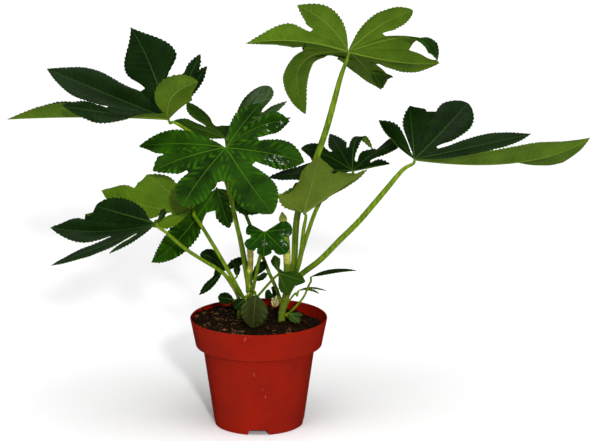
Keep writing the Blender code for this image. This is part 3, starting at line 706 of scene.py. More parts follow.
class Margin:
    """One free side of a lobe, from the end of its web, or from the junction, to the tip. It
    keeps to its own side of the middle between its rib and the neighbouring one."""

    def __init__(self, rib, way, start, end_of_web, neighbour=None):
        self.rib = rib
        self.way = way
        self.start = start
        self.neighbour = neighbour
        offset = end_of_web - rib.at(start)
        heading = rib.heading(start)
        self.side = across(offset, heading)
        self.breadth = offset.dot(self.side)
        self.lead = offset.dot(heading)
        other = neighbour.form["breadth"] if neighbour else 0
        self.room_share = rib.form["breadth"] / (rib.form["breadth"] + other)

    def at(self, t, flat, extra):
        """A point on the margin, where flat is the lobe's own level direction."""
        rib = self.rib
        heading = rib.heading(t)
        q = (t - self.start) / (1 - self.start)
        side = across(self.side * (1 - q) + flat * (self.way * q), heading)
        up = heading.cross(side).normalized() * self.way
        roll = Matrix.Rotation(rib.form["roll"] * min(1, q / FULL_ROLL_SHARE), 3, heading)
        fold = rib.form["fold"] * min(1, q / FULL_FOLD_SHARE)
        side = roll @ (side * math.cos(fold) + up * math.sin(fold))
        ease = min(1, (t - self.start) / EASE_SHARE) if self.start else 1
        ease = ease * ease * (3 - 2 * ease)
        room = self.neighbour.nearest(rib.at(t))[0] * FREE_SHARE if self.neighbour else math.inf
        free = soft_least(rib.half_breadth(t), room * self.room_share)
        breadth = self.breadth * (1 - ease) + free * ease
        breadth = min(breadth + extra, room * ((1 - ease) / 2 + self.room_share * ease))
        return rib.at(t) + heading * self.lead * (1 - ease) + side * breadth


def outer_margin(rib, way, inner, across_notch):
    """The side of the first or last lobe that has no web. It leans as the lobe's other side."""
    heading = rib.heading(LEAN_SHARE)
    side = across(rib.up.cross(heading) * way, heading)
    if inner:
        lean = inner.side.dot(rib.up)
        level = across(rib.up * lean - inner.side, heading)
        breadth = max(LEAST_LEVEL, math.sqrt(1 - lean * lean))
        side = across(level * breadth + rib.up * lean, heading)
    return Margin(rib, way, 0, side, across_notch)


def margins_of(form, ribs, ends):
    """Each rib's two margins, as (right, left): a lobe's neighbour on its left is the next one."""
    pairs = []
    for index, rib in enumerate(ribs):
        pair = {}
        for way, gap in ((-1, index - 1), (1, index)):
            if 0 <= gap < len(ends):
                end_of_web = seam_point(form, ribs, gap, ends[gap])
                start = min(LAST_START, rib.nearest(end_of_web)[1])
                pair[way] = Margin(rib, way, start, end_of_web, ribs[index + way])
        for way in (-1, 1):
            if way not in pair:
                across_notch = ribs[-1 - index] if len(ribs) > 2 else None
                pair[way] = outer_margin(rib, way, pair.get(-way), across_notch)
        pairs.append((pair[-1], pair[1]))
    return pairs


def tooth_at(distance):
    """How far a tooth stands out at this distance along a margin."""
    share = distance / TOOTH_PITCH % 1
    if share < TOOTH_CREST:
        return TOOTH_HEIGHT * share ** TOOTH_CURVE
    return TOOTH_HEIGHT * (1 - share) / (1 - TOOTH_CREST)


def vein_phase(along, aside):
    """Side veins lie where this is whole. They leave the rib aslant and curl towards the tip."""
    reach = abs(aside)
    shift = 0.5 if aside > 0 else 0
    return (along - VEIN_LEAN * reach - VEIN_CURL * reach * reach) / VEIN_PITCH + shift


class Blade:
    """A leaf's blade as a closed sheet, finer than the CAD model's but of the same form."""

    def __init__(self, name, form, finishes):
        self.name = name
        self.form = form
        self.finishes = finishes
        self.ribs = ribs_of(form)
        coarse = form["stations"]
        ends = [min(coarse - 2, max(1, round(cut * coarse))) for cut in form["cuts"]]
        longest = max(rib.length for rib in self.ribs)
        finer = max(2, round(longest / STATION_GAP / coarse))
        self.count = coarse * finer
        self.ends = [end * finer for end in ends]
        self.margins = margins_of(form, self.ribs, [end / coarse for end in ends])
        self.mesh = bmesh.new()
        self.chart = self.mesh.loops.layers.uv.new("blade")
        self.share = self.mesh.verts.layers.float.new("share")
        self.run = self.mesh.verts.layers.float.new("run")
        self.relief = self.mesh.verts.layers.float.new("relief")
        self.ridge = self.mesh.verts.layers.float.new("ridge")
        self.seed = Vector((sum(map(ord, name)) % SEED_RANGE, len(name), 0))

    def put(self, point, along, aside, share, free, run):
        """A new vertex. Veins, cushions between them and a wavy margin shape it later."""
        vert = self.mesh.verts.new(self.form["junction"] + point)
        cushion = abs(math.sin(math.pi * vein_phase(along, aside))) ** CUSHION_CURVE - CUSHION_LEVEL
        fade = math.sin(math.pi * (min(1, share + MARGIN_RELIEF) if free else share))
        wave = noise.noise((point + self.seed) / EDGE_WAVE_SIZE) * share * share if free else 0
        bulge = abs(aside) * ARCH_SHARE * math.sin(math.pi * share) * 2
        size = self.form["detail"]
        relief = CUSHION_HEIGHT * cushion * fade + EDGE_WAVE * wave
        vert[self.relief] = relief * size + bulge * size
        vert[self.share] = share
        vert[self.run] = run
        return vert

    def lobe_row(self, rib, margin, edge_vert, edge_point, rib_vert, t, free):
        """The vertices from the rib to the margin at one station, with their chart places."""
        start = rib.at(t)
        heading = rib.heading(t)
        base = t * rib.length
        row = [(rib_vert, base, 0)]
        for share in COLUMNS[:-1]:
            point = start.lerp(edge_point, share)
            offset = point - start
            along = base + offset.dot(heading)
            aside = (offset - heading * offset.dot(heading)).length * margin.way
            row.append((self.put(point, along, aside, share, free, t), along, aside))
        offset = edge_point - start
        along = base + offset.dot(heading)
        aside = (offset - heading * offset.dot(heading)).length * margin.way
        row.append((edge_vert, along, aside))
        return row

    def face(self, corners, way):
        corners = [corner for k, corner in enumerate(corners) if corner[0] is not corners[k - 1][0]]
        if len(corners) < 3:
            return
        corners = corners[::way]
        made = self.mesh.faces.new([corner[0] for corner in corners])
        made.smooth = True
        for loop, corner in zip(made.loops, corners):
            loop[self.chart].uv = (corner[1] * MM, corner[2] * MM)

    def add_half(self, index, margin, gap, centre, line, web):
        """One half of a lobe, between its rib and its web and margin."""
        rib = self.ribs[index]
        end = self.ends[gap] if web else 0
        right, left = self.margins[index]
        flat = across(left.side - right.side, rib.heading(0.5))
        rows = [[(centre, 0, 0)] * (len(COLUMNS) + 1)]
        for k in range(1, self.count):
            t = k / self.count
            if k <= end:
                edge_point = seam_point(self.form, self.ribs, gap, t)
                edge_vert = web[k]
            else:
                q = (k - end) / (self.count - end)
                place = margin.start + (1 - margin.start) * q
                along = place * rib.length
                grown = min(1, TEETH_GROWTH * q, TEETH_FADING * (1 - q)) * self.form["detail"]
                edge_point = margin.at(place, flat, tooth_at(along) * grown)
                aside = rib.half_breadth(place) * margin.way
                edge_vert = self.put(edge_point, along, aside, 1, True, place)
            rows.append(self.lobe_row(rib, margin, edge_vert, edge_point, line[k], t, k > end))
        rows.append([(line[-1], rib.length, 0)] * (len(COLUMNS) + 1))
        for row, after in zip(rows, rows[1:]):
            for a, b, c, d in zip(row, after, after[1:], row[1:]):
                self.face([a, b, c, d], margin.way)

    def surface(self):
        """The upper surface, before its relief."""
        centre = self.put(Vector(), 0, 0, 0, False, 0)
        lines = []
        for rib in self.ribs:
            line = [centre]
            for k in range(1, self.count + 1):
                t = k / self.count
                vert = self.put(rib.at(t), t * rib.length, 0, 0, False, t)
                vert[self.relief] = 0
                vert[self.ridge] = RIB_RIDGE * (1 - RIB_TAPER * t) * self.form["detail"]
                line.append(vert)
            lines.append(line)
        centre[self.relief] = 0
        centre[self.ridge] = RIB_RIDGE * self.form["detail"]
        webs = []
        for gap, end in enumerate(self.ends):
            web = [centre]
            for k in range(1, end + 1):
                t = k / self.count
                vert = self.put(seam_point(self.form, self.ribs, gap, t), 0, 0, 1, False, t)
                vert[self.relief] = 0
                web.append(vert)
            webs.append(web)
        for index, (right, left) in enumerate(self.margins):
            for margin, gap in ((right, index - 1), (left, index)):
                web = webs[gap] if 0 <= gap < len(webs) else None
                self.add_half(index, margin, gap, centre, lines[index], web)

    def close(self):
        """Shapes the upper surface and adds the underside and the rim."""
        mesh = self.mesh
        mesh.normal_update()
        uppers = list(mesh.verts)
        faces = list(mesh.faces)
        rims = [edge for edge in mesh.edges if len(edge.link_faces) == 1]
        normals = [vert.normal.copy() for vert in uppers]
        lowers = {}
        for vert, normal in zip(uppers, normals):
            vert.co = vert.co + normal * (vert[self.relief] + SHEET_THICKNESS / 2)
        for vert, normal in zip(uppers, normals):
            under = mesh.verts.new(vert.co - normal * (SHEET_THICKNESS + vert[self.ridge]))
            under[self.share] = vert[self.share]
            under[self.run] = vert[self.run]
            lowers[vert] = under
        for face in faces:
            made = mesh.faces.new([lowers[vert] for vert in reversed(face.verts)])
            made.material_index = 1
            made.smooth = True
            for loop, upper in zip(made.loops, reversed(face.loops)):
                loop[self.chart].uv = upper[self.chart].uv
        for edge in rims:
            loop = edge.link_loops[0]
            after = loop.link_loop_next
            start, end = loop.vert, after.vert
            made = mesh.faces.new((end, start, lowers[start], lowers[end]))
            made.material_index = 1
            made.smooth = True
            for side, corner in zip(made.loops, (after, loop, loop, after)):
                side[self.chart].uv = corner[self.chart].uv

    def finish(self):
        self.surface()
        self.close()
        piece = object_of(self.name + "_blade", self.mesh, self.finishes)
        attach(piece, "root")
        if self.name in LEAVES:
            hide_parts(self.name)


def linked(name, data):
    """A new object in the scene."""
    made = bpy.data.objects.new(name, data)
    bpy.context.scene.collection.objects.link(made)
    return made


def object_of(name, mesh, finishes):
    """A new object from a bmesh, which is freed."""
    data = bpy.data.meshes.new(name)
    mesh.to_mesh(data)
    mesh.free()
    made = linked(name, data)
    for finish in finishes:
        data.materials.append(finish)
    return made


def stalk_end(form):
    """Where a stalk meets its leaf in the CAD model, and the direction down from there."""
    ribs = ribs_of(form)
    up = Vector()
    for rib in ribs:
        up = up + rib.up * rib.tip.length
    down = -up.normalized()
    droop = 0
    for rib in ribs:
        heading = rib.bend.normalized()
        level = across(heading, down)
        droop = max(droop, heading.dot(down) / max(LEAST_LEVEL, heading.dot(level)))
    depth = BLADE_THICKNESS / 2 + STALK_CLEARANCE + STALK_END_RADIUS * min(MOST_DROOP, droop)
    return form["junction"] + down * depth, down


def smooth_route(points):
    """Points along a smooth curve through these ones."""
    route = []
    last = len(points) - 1
    for index in range(last):
        before = points[max(0, index - 1)]
        start, end = points[index], points[index + 1]
        after = points[min(last, index + 2)]
        for step in range(POINTS_PER_SPAN):
            t = step / POINTS_PER_SPAN
            bend = (before * -1 + start * 3 - end * 3 + after) * t ** 3
            lean = (before * 2 - start * 5 + end * 4 - after) * t ** 2
            route.append((start * 2 + (end - before) * t + lean + bend) / 2)
    return route + [points[-1]]


def distances_along(points):
    """How far along the line each of its points lies."""
    found = [0.0]
    for start, end in zip(points, points[1:]):
        found.append(found[-1] + (end - start).length)
    return found


def add_tube(mesh, points, radii, sides, slot=0):
    """A closed tube along these points, in a mesh. Its side turns as little as it can."""
    rings = []
    side = None
    for k, point in enumerate(points):
        heading = (points[min(k + 1, len(points) - 1)] - points[max(k - 1, 0)]).normalized()
        if side is None:
            side = heading.orthogonal()
        side = across(side, heading)
        up = heading.cross(side)
        ring = []
        for step in range(sides):
            turn = math.tau * step / sides
            outward = side * math.cos(turn) + up * math.sin(turn)
            ring.append(mesh.verts.new(point + outward * radii[k]))
        rings.append(ring)
    made = []
    for ring, after in zip(rings, rings[1:]):
        for k in range(sides):
            corners = (ring[k], ring[(k + 1) % sides], after[(k + 1) % sides], after[k])
            made.append(mesh.faces.new(corners))
    made.append(mesh.faces.new(rings[0][::-1]))
    made.append(mesh.faces.new(rings[-1]))
    for face in made:
        face.smooth = True
        face.material_index = slot


def trunk_radius(form, along):
    """The trunk's radius, with the rings that fallen leaves left on it."""
    away = along % SCAR_PITCH - SCAR_PITCH / 2
    return form["radius"] + SCAR_RISE * math.exp(-(away / SCAR_BREADTH) ** 2)


def make_stem(name, form, finishes):
    """A stem with the stalks of its leaves, each widening into a sheath at the stem."""
    mesh = bmesh.new()
    root = Vector((*form["route"][0].xy, SOIL_HEIGHT - ROOT_DEPTH))
    route = smooth_route([root] + form["route"])
    radii = [trunk_radius(form, along) for along in distances_along(route)]
    onward = (route[-1] - route[-2]).normalized()
    top = route[-1]
    for height, share in BUD:
        route.append(top + onward * height * form["radius"])
        radii.append(share * form["radius"])
    add_tube(mesh, route, radii, STEM_SIDES, 0)
    for leaf_name, radius, points in form["stalks"]:
        end, down = stalk_end(LEAVES.get(leaf_name) or BITS[leaf_name])
        arrival = (down * NECK_LEAN + (points[-1] - end).normalized()).normalized()
        route = smooth_route(points + [end + arrival * NECK_LENGTH, end - down * STALK_CLEARANCE])
        travelled = distances_along(route)
        radii = []
        for along in travelled:
            sheath = max(0, 1 - along / SHEATH_LENGTH) ** 2 * SHEATH_SHARE
            taper = (along / travelled[-1]) ** STALK_TAPER
            radii.append(radius * (1 + sheath) + (STALK_END_RADIUS - radius) * taper)
        add_tube(mesh, route, radii, STALK_SIDES, 1)
    piece = object_of(name + "_grown", mesh, finishes)
    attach(piece, "root")
    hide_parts(name)


def band_foot():
    return POT_HEIGHT - BAND_HEIGHT


def band_radius(height):
    """The outer radius of the rim band at this height."""
    share = (POT_HEIGHT - height) / BAND_HEIGHT
    return RIM_RADIUS + (BAND_FOOT_RADIUS - RIM_RADIUS) * share


def body_radius(height):
    """The outer radius of the body below the band at this height."""
    return BASE_RADIUS + (BODY_TOP_RADIUS - BASE_RADIUS) * height / band_foot()


def arc(centre, breadth, height, start, end, steps):
    """Points of an arc, as (radius, height), from one angle to another in degrees."""
    points = []
    for k in range(steps + 1):
        turn = math.radians(start + (end - start) * k / steps)
        points.append((centre[0] + breadth * math.cos(turn), centre[1] + height * math.sin(turn)))
    return points


def edge_arc(radius, height, size, start, end):
    """Points of a rounded edge of the pot."""
    return arc((radius, height), size, size, start, end, EDGE_STEPS)


def pot_profile():
    """Round the wall, from the floor's middle inside, over the lip and down to the foot."""
    foot = band_foot()
    floor = FLOOR_HEIGHT + WALL
    ledge = foot + WALL
    lip_foot = POT_HEIGHT - LIP / 2
    lip_centre = (band_radius(lip_foot) - WALL / 2, lip_foot)
    points = [(0, floor), (body_radius(floor) - WALL, floor), (body_radius(ledge) - WALL, ledge)]
    points.append((band_radius(ledge) - WALL, ledge))
    points += arc(lip_centre, WALL / 2, LIP / 2, 180, 0, LIP_STEPS)
    points += edge_arc(band_radius(foot) - BAND_EDGE, foot + BAND_EDGE, BAND_EDGE, 0, -90)
    points += edge_arc(body_radius(foot) + BAND_EDGE, foot - BAND_EDGE, BAND_EDGE, 90, 180)
    points += edge_arc(BASE_RADIUS - FOOT_BEVEL, FOOT_BEVEL, FOOT_BEVEL, 0, -90)
    points += [(BASE_RADIUS - FOOT_RING, 0), (BASE_RADIUS - FOOT_RING, FLOOR_HEIGHT)]
    return points + [(FOOT_DISC_RADIUS, FLOOR_HEIGHT), (FOOT_DISC_RADIUS, 0), (0, 0)]


def turned(name, points, steps, finishes):
    """A solid of revolution. The points run down its outer side."""
    mesh = bmesh.new()
    line = [mesh.verts.new((radius, 0, height)) for radius, height in points]
    for start, end in zip(line, line[1:]):
        mesh.edges.new((start, end))
    made = object_of(name, mesh, finishes)
    screw = made.modifiers.new("Turn", "SCREW")
    screw.steps = steps
    screw.render_steps = steps
    screw.use_merge_vertices = True
    screw.merge_threshold = MERGE_GAP
    screw.use_normal_calculate = True
    return made


def applied(made):
    """Replaces an object's mesh by what its modifiers make of it."""
    graph = bpy.context.evaluated_depsgraph_get()
    data = bpy.data.meshes.new_from_object(made.evaluated_get(graph))
    made.modifiers.clear()
    made.data = data
    return made


def pot_cuts():
    """The notches through the foot ring, the first at the front, and the drain holes."""
    mesh = bmesh.new()
    for index in range(NOTCH_COUNT):
        made = bmesh.ops.create_cube(mesh, size=1)["verts"]
        for vert in made:
            top = vert.co.z > 0
            width = NOTCH_TOP_WIDTH if top else NOTCH_WIDTH * 2 - NOTCH_TOP_WIDTH
            height = NOTCH_HEIGHT if top else -NOTCH_HEIGHT
            vert.co = Vector((vert.co.x * width, vert.co.y * NOTCH_REACH - BASE_RADIUS, height))
        spin = Matrix.Rotation(math.tau * index / NOTCH_COUNT, 3, "Z")
        bmesh.ops.rotate(mesh, verts=made, cent=(0, 0, 0), matrix=spin)
    for index in range(DRAIN_COUNT):
        turn = math.tau * (index + 0.5) / DRAIN_COUNT
        place = Vector((math.cos(turn), math.sin(turn), 0)) * DRAIN_RING_RADIUS
        place.z = FLOOR_HEIGHT
        bmesh.ops.create_cone(
            mesh, cap_ends=True, segments=DRAIN_SEGMENTS, radius1=DRAIN_RADIUS,
            radius2=DRAIN_RADIUS, depth=FLOOR_HEIGHT, matrix=Matrix.Translation(place))
    return object_of("pot_cuts", mesh, [])


def make_pot(finish):
    pot = turned("pot_moulded", pot_profile(), POT_STEPS, [finish])
    cuts = pot_cuts()
    step = pot.modifiers.new("Cut", "BOOLEAN")
    step.operation = "DIFFERENCE"
    step.object = cuts
    step.solver = "EXACT"
    bpy.context.view_layer.update()
    applied(pot)
    bpy.data.objects.remove(cuts)
    pot.data.shade_smooth()
    pot.data.set_sharp_from_angle(angle=SHARP_ANGLE)
    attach(pot, "root")
    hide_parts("pot")


def polar(reach, turn):
    """The place, (x, y), this far from the axis of the pot."""
    return reach * math.cos(turn), reach * math.sin(turn)


def soil_top(x, y):
    """The height of the soil's surface, with its lumps."""
    lump = noise.noise(Vector((x, y, SOIL_HEIGHT)) / SOIL_BUMP_SIZE)
    crumb = noise.noise(Vector((x, y, 0)) / CRUMB_SIZE)
    grit = noise.noise(Vector((x, y, 1)) / GRIT_SIZE) / 2
    return SOIL_HEIGHT + SOIL_BUMP * lump + SOIL_TILT * x + CRUMB_RISE * (crumb + grit)


def make_soil(finish):
    """The soil's surface inside the pot, closed below by a plain skirt and floor."""
    mesh = bmesh.new()
    rings = []
    for ring in range(1, SOIL_RINGS + 1):
        line = []
        for step in range(SOIL_STEPS):
            turn = math.tau * step / SOIL_STEPS
            reach = (band_radius(SOIL_HEIGHT) - WALL) * ring / SOIL_RINGS
            x, y = polar(reach, turn)
            height = soil_top(x, y)
            if ring == SOIL_RINGS:
                x, y = polar(band_radius(height) - WALL - SOIL_CLEARANCE, turn)
            line.append(mesh.verts.new((x, y, height)))
        rings.append(line)
    centre = mesh.verts.new((0, 0, soil_top(0, 0)))
    for k in range(SOIL_STEPS):
        mesh.faces.new((centre, rings[0][k], rings[0][(k + 1) % SOIL_STEPS]))
    skirt = []
    for step in range(SOIL_STEPS):
        turn = math.tau * step / SOIL_STEPS
        reach = band_radius(SOIL_SKIRT_HEIGHT) - WALL - SOIL_CLEARANCE
        skirt.append(mesh.verts.new((*polar(reach, turn), SOIL_SKIRT_HEIGHT)))
    rings.append(skirt)
    for ring, after in zip(rings, rings[1:]):
        for k in range(SOIL_STEPS):
            beside = (k + 1) % SOIL_STEPS
            mesh.faces.new((ring[k], after[k], after[beside], ring[beside]))
    mesh.faces.new(skirt[::-1])
    for face in mesh.faces:
        face.smooth = True
    piece = object_of("soil_surface", mesh, [finish])
    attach(piece, "root")
    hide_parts("soil")


class Finish:
    """A material and the nodes that colour it. A value may be a number, a colour or an output."""

    def __init__(self, name, roughness, gloss):
        self.material = bpy.data.materials.new(name)
        self.material.use_nodes = True
        self.tree = self.material.node_tree
        self.shader = self.tree.nodes["Principled BSDF"]
        self.shader.inputs["Roughness"].default_value = roughness
        self.shader.inputs["Specular IOR Level"].default_value = gloss
        self.place = self.node("ShaderNodeTexCoord").outputs["Object"]

    def wire(self, socket, value):
        if isinstance(value, bpy.types.NodeSocket):
            self.tree.links.new(value, socket)
        elif isinstance(value, tuple) and len(value) < len(socket.default_value):
            socket.default_value = (*value, 1)
        else:
            socket.default_value = value

    def node(self, kind, inputs=None, **settings):
        made = self.tree.nodes.new(kind)
        for name, value in settings.items():
            setattr(made, name, value)
        for name, value in (inputs or {}).items():
            self.wire(made.inputs[name], value)
        return made

    def math(self, operation, *values):
        made = self.node("ShaderNodeMath", operation=operation)
        for socket, value in zip(made.inputs, values):
            self.wire(socket, value)
        return made.outputs[0]

    def times(self, first, second):
        return self.math("MULTIPLY", first, second)

    def step(self, value, start, end, low=0, high=1):
        """Low before the start, high after the end, and a smooth rise between them."""
        made = self.node("ShaderNodeMapRange", interpolation_type="SMOOTHSTEP")
        for socket, item in zip(made.inputs, (value, start, end, low, high)):
            self.wire(socket, item)
        return made.outputs[0]

    def mix(self, share, first, second):
        """A colour between the first, at share 0, and the second, at share 1."""
        made = self.node("ShaderNodeMix", data_type="RGBA")
        colours = [socket for socket in made.inputs if socket.type == "RGBA"]
        self.wire(made.inputs[0], share)
        self.wire(colours[0], first)
        self.wire(colours[1], second)
        return [socket for socket in made.outputs if socket.type == "RGBA"][0]

    def noise(self, size, detail, place=None):
        """Soft noise between 0 and 1, whose blots are about this many metres across."""
        made = self.node("ShaderNodeTexNoise", {"Scale": 1 / size, "Detail": detail})
        self.wire(made.inputs["Vector"], place or self.place)
        return made.outputs[0]

    def placed(self, operation, values):
        """The place and these three values, put together by a vector operation."""
        inputs = {0: self.place, 1: Vector(values)}
        return self.node("ShaderNodeVectorMath", inputs, operation=operation).outputs

    def blots(self, kind, low=0, high=1):
        """Soft blots of a kind in BLOTS: low outside them and high in them."""
        size, detail, start, end, *stretch = BLOTS[kind]
        place = self.placed("MULTIPLY", stretch[0])[0] if stretch else self.place
        return self.step(self.noise(size, detail, place), start, end, low, high)

    def patches(self, spots):
        """One in the middle of each spot, a centre and a reach, and 0 outside them."""
        found = 0
        for centre, reach in spots:
            distance = self.placed("DISTANCE", centre)["Value"]
            away = self.step(distance, reach * PATCH_CORE, reach, 1, 0)
            found = self.math("MAXIMUM", found, away)
        return found

    def bump(self, height, kind):
        """Adds relief of a kind in RISES over the relief so far."""
        made = self.node("ShaderNodeBump", {"Height": height, "Distance": RISES[kind]})
        socket = self.shader.inputs["Normal"]
        if socket.links:
            self.wire(made.inputs["Normal"], socket.links[0].from_socket)
        self.wire(socket, made.outputs[0])

    def dent(self, kind):
        """Adds relief of soft noise, of a kind in DENTS."""
        self.bump(self.noise(*DENTS[kind]), kind)

    def colour(self, value):
        self.wire(self.shader.inputs["Base Color"], value)

    def rough(self, value):
        self.wire(self.shader.inputs["Roughness"], value)


def veins(made, rib_width):
    """How much of the midrib and of a side vein there is at a place on a blade, and how much
    painted light falls on the cushion between side veins there, from 0 to 1."""
    chart = made.node("ShaderNodeUVMap", uv_map="blade").outputs[0]
    along, aside, _ = made.node("ShaderNodeSeparateXYZ", {"Vector": chart}).outputs
    run = made.node("ShaderNodeAttribute", attribute_name="run").outputs["Fac"]
    share = made.node("ShaderNodeAttribute", attribute_name="share").outputs["Fac"]
    reach = made.math("ABSOLUTE", aside)
    width = made.math("MULTIPLY_ADD", run, -RIB_TAPER * rib_width, rib_width)
    rib = made.step(made.math("DIVIDE", reach, width), *RIB_EDGE, 1, 0)
    lean = made.math("MULTIPLY_ADD", reach, VEIN_CURL / MM, VEIN_LEAN)
    start = made.math("SUBTRACT", along, made.times(lean, reach))
    half = made.times(made.math("GREATER_THAN", aside, 0), 0.5)
    phase = made.math("ADD", made.math("DIVIDE", start, VEIN_PITCH * MM), half)
    away = made.times(made.math("PINGPONG", phase, 0.5), VEIN_PITCH * MM)
    breadth = made.step(share, 0, 1, SIDE_VEIN_WIDTH, SIDE_VEIN_WIDTH * SIDE_VEIN_END)
    side = made.step(made.math("DIVIDE", away, breadth), *SIDE_VEIN_EDGE, 1, 0)
    side = made.times(side, made.step(share, *SIDE_VEIN_FADE))
    # Painted light: the cushion is lit more the further it lies from a vein
    painted_light_share = made.step(away, PAINTED_LIGHT_CUSHION_FOOT, VEIN_PITCH * MM / 2)
    return rib, side, made.times(painted_light_share, made.step(share, *PAINTED_LIGHT_CUSHION_SPAN))


def leaf_upper(name, dark, light, rib_colour, vein_share, roughness, spots, crinkle):
    """The glossy upper side of a leaf, with pale ribs sunk into it and painted light on cushions.
    """
    made = Finish(name, roughness, UPPER_GLOSS)
    rib, side, cushion = veins(made, UPPER_RIB_WIDTH)
    patches = made.blots("leaf_patches")
    specks = made.blots("leaf_specks")
    base = made.mix(made.times(patches, SHARES["leaf_patches"]), dark, light)
    # Painted light: the cushions between side veins take the light colour, as light on their relief
    # would make them, so the blade looks darker along the veins
    base = made.mix(made.times(cushion, made.blots("cushion_painted_light")), base, light)
    base = made.mix(made.times(side, vein_share), base, rib_colour)
    made.colour(made.mix(made.times(rib, SHARES["leaf_ribs"]), base, rib_colour))
    rough = made.step(specks, 0, 1, roughness, min(roughness + SPECK_ROUGHNESS, 1))
    if spots:
        wet = made.times(made.patches(spots), made.step(made.noise(crinkle, 3), *WET_LEVELS))
        rough = made.step(wet, 0, 1, rough, WET_ROUGHNESS)
    made.rough(rough)
    made.bump(made.math("MAXIMUM", rib, side), "leaf_veins")
    made.bump(made.noise(crinkle, 2), "leaf_crinkle")
    return made.material


def leaf_lower(name, dark, light, rib_colour, vein_share, roughness):
    """The duller underside of a leaf, where ribs and veins stand out, with painted light on
    cushions.
    """
    made = Finish(name, roughness, LOWER_GLOSS)
    rib, side, cushion = veins(made, LOWER_RIB_WIDTH)
    base = made.mix(made.blots("underside_patches"), dark, light)
    # Painted light: the cushions between side veins are coloured a little lighter, as light on
    # their relief would make them
    base = made.mix(made.times(cushion, SHARES["underside_cushion_painted_light"]), base, light)
    base = made.mix(made.times(side, vein_share), base, rib_colour)
    made.colour(made.mix(rib, base, rib_colour))
    made.rough(made.blots("underside_gloss", roughness, roughness + UNDERSIDE_ROUGHNESS))
    made.bump(made.math("MAXIMUM", rib, side), "underside_veins")
    made.dent("underside")
    return made.material


def stalk_finish():
    """A stalk's waxy yellow-green skin, with fine streaks and a darker bloom here and there."""
    made = Finish("stalk_skin", *SURFACES["stalk_skin"])
    streaks = made.blots("stalk_streaks")
    blooms = made.blots("stalk_blooms")
    base = made.mix(streaks, STALK_PALE, STALK_GREEN)
    made.colour(made.mix(made.times(blooms, SHARES["stalk_blooms"]), base, STALK_DARK))
    made.bump(streaks, "stalk_streaks")
    return made.material


def trunk_finish():
    """Young bark: tan, ringed by leaf scars, and green near the soil."""
    made = Finish("stem_bark", *SURFACES["stem_bark"])
    rings = made.blots("bark_rings")
    flecks = made.blots("bark_flecks")
    greens = made.blots("bark_greens")
    base = made.mix(rings, BARK_PALE, BARK_TAN)
    height = made.node("ShaderNodeSeparateXYZ", {"Vector": made.place}).outputs["Z"]
    foot = made.step(height, GREEN_FOOT, GREEN_TOP, 1, 0)
    base = made.mix(made.math("MAXIMUM", greens, foot), base, BARK_GREEN)
    made.colour(made.mix(made.times(flecks, SHARES["bark_flecks"]), base, BARK_DARK))
    made.bump(rings, "bark_rings")
    made.bump(flecks, "bark_flecks")
    return made.material


def pot_finish():
    """Moulded brick-red plastic with faint mottling and a few pale scuffs."""
    made = Finish("pot_plastic", *SURFACES["pot_plastic"])
    clouds = made.blots("pot_clouds")
    grains = made.blots("pot_grains")
    base = made.mix(clouds, POT_RED, POT_DEEP)
    base = made.mix(made.times(grains, SHARES["pot_grains"]), base, POT_PALE)
    scuffs = made.times(made.blots("pot_scratches"), made.blots("pot_scuffs"))
    made.colour(made.mix(made.times(scuffs, SHARES["pot_scuffs"]), base, POT_SCUFF))
    made.rough(made.step(clouds, 0, 1, *POT_ROUGHNESS))
    made.bump(grains, "pot_grains")
    made.dent("pot")
    return made.material


def soil_finish():
    """Dark crumbly potting soil."""
    made = Finish("potting_soil", *SURFACES["potting_soil"])
    clods = made.blots("soil_clods")
    grains = made.blots("soil_grains")
    base = made.mix(clods, SOIL_DARK, SOIL_BROWN)
    made.colour(made.mix(made.times(grains, SHARES["soil_grains"]), base, SOIL_PALE))
    made.dent("soil")
    made.bump(grains, "soil_grains")
    return made.material


def litter_finish(name, dark, pale):
    """Fibres, bark and other dry bits, with a fine grain."""
    made = Finish(name, *SURFACES[name])
    grain = made.blots(name)
    made.colour(made.mix(grain, dark, pale))
    made.bump(grain, "litter_grain")
    return made.material


def floor_finish():
    made = Finish("pale_floor", *SURFACES["pale_floor"])
    made.colour(made.mix(made.blots("floor_clouds"), FLOOR_WHITE, FLOOR_PALE))
    made.dent("floor")
    return made.material


def spot_on_soil(dice, start, end):
    """A random place on the soil between two directions from its middle."""
    reach = CRUMB_REACH * math.sqrt(dice.random())
    return polar(reach, dice.uniform(start, end))


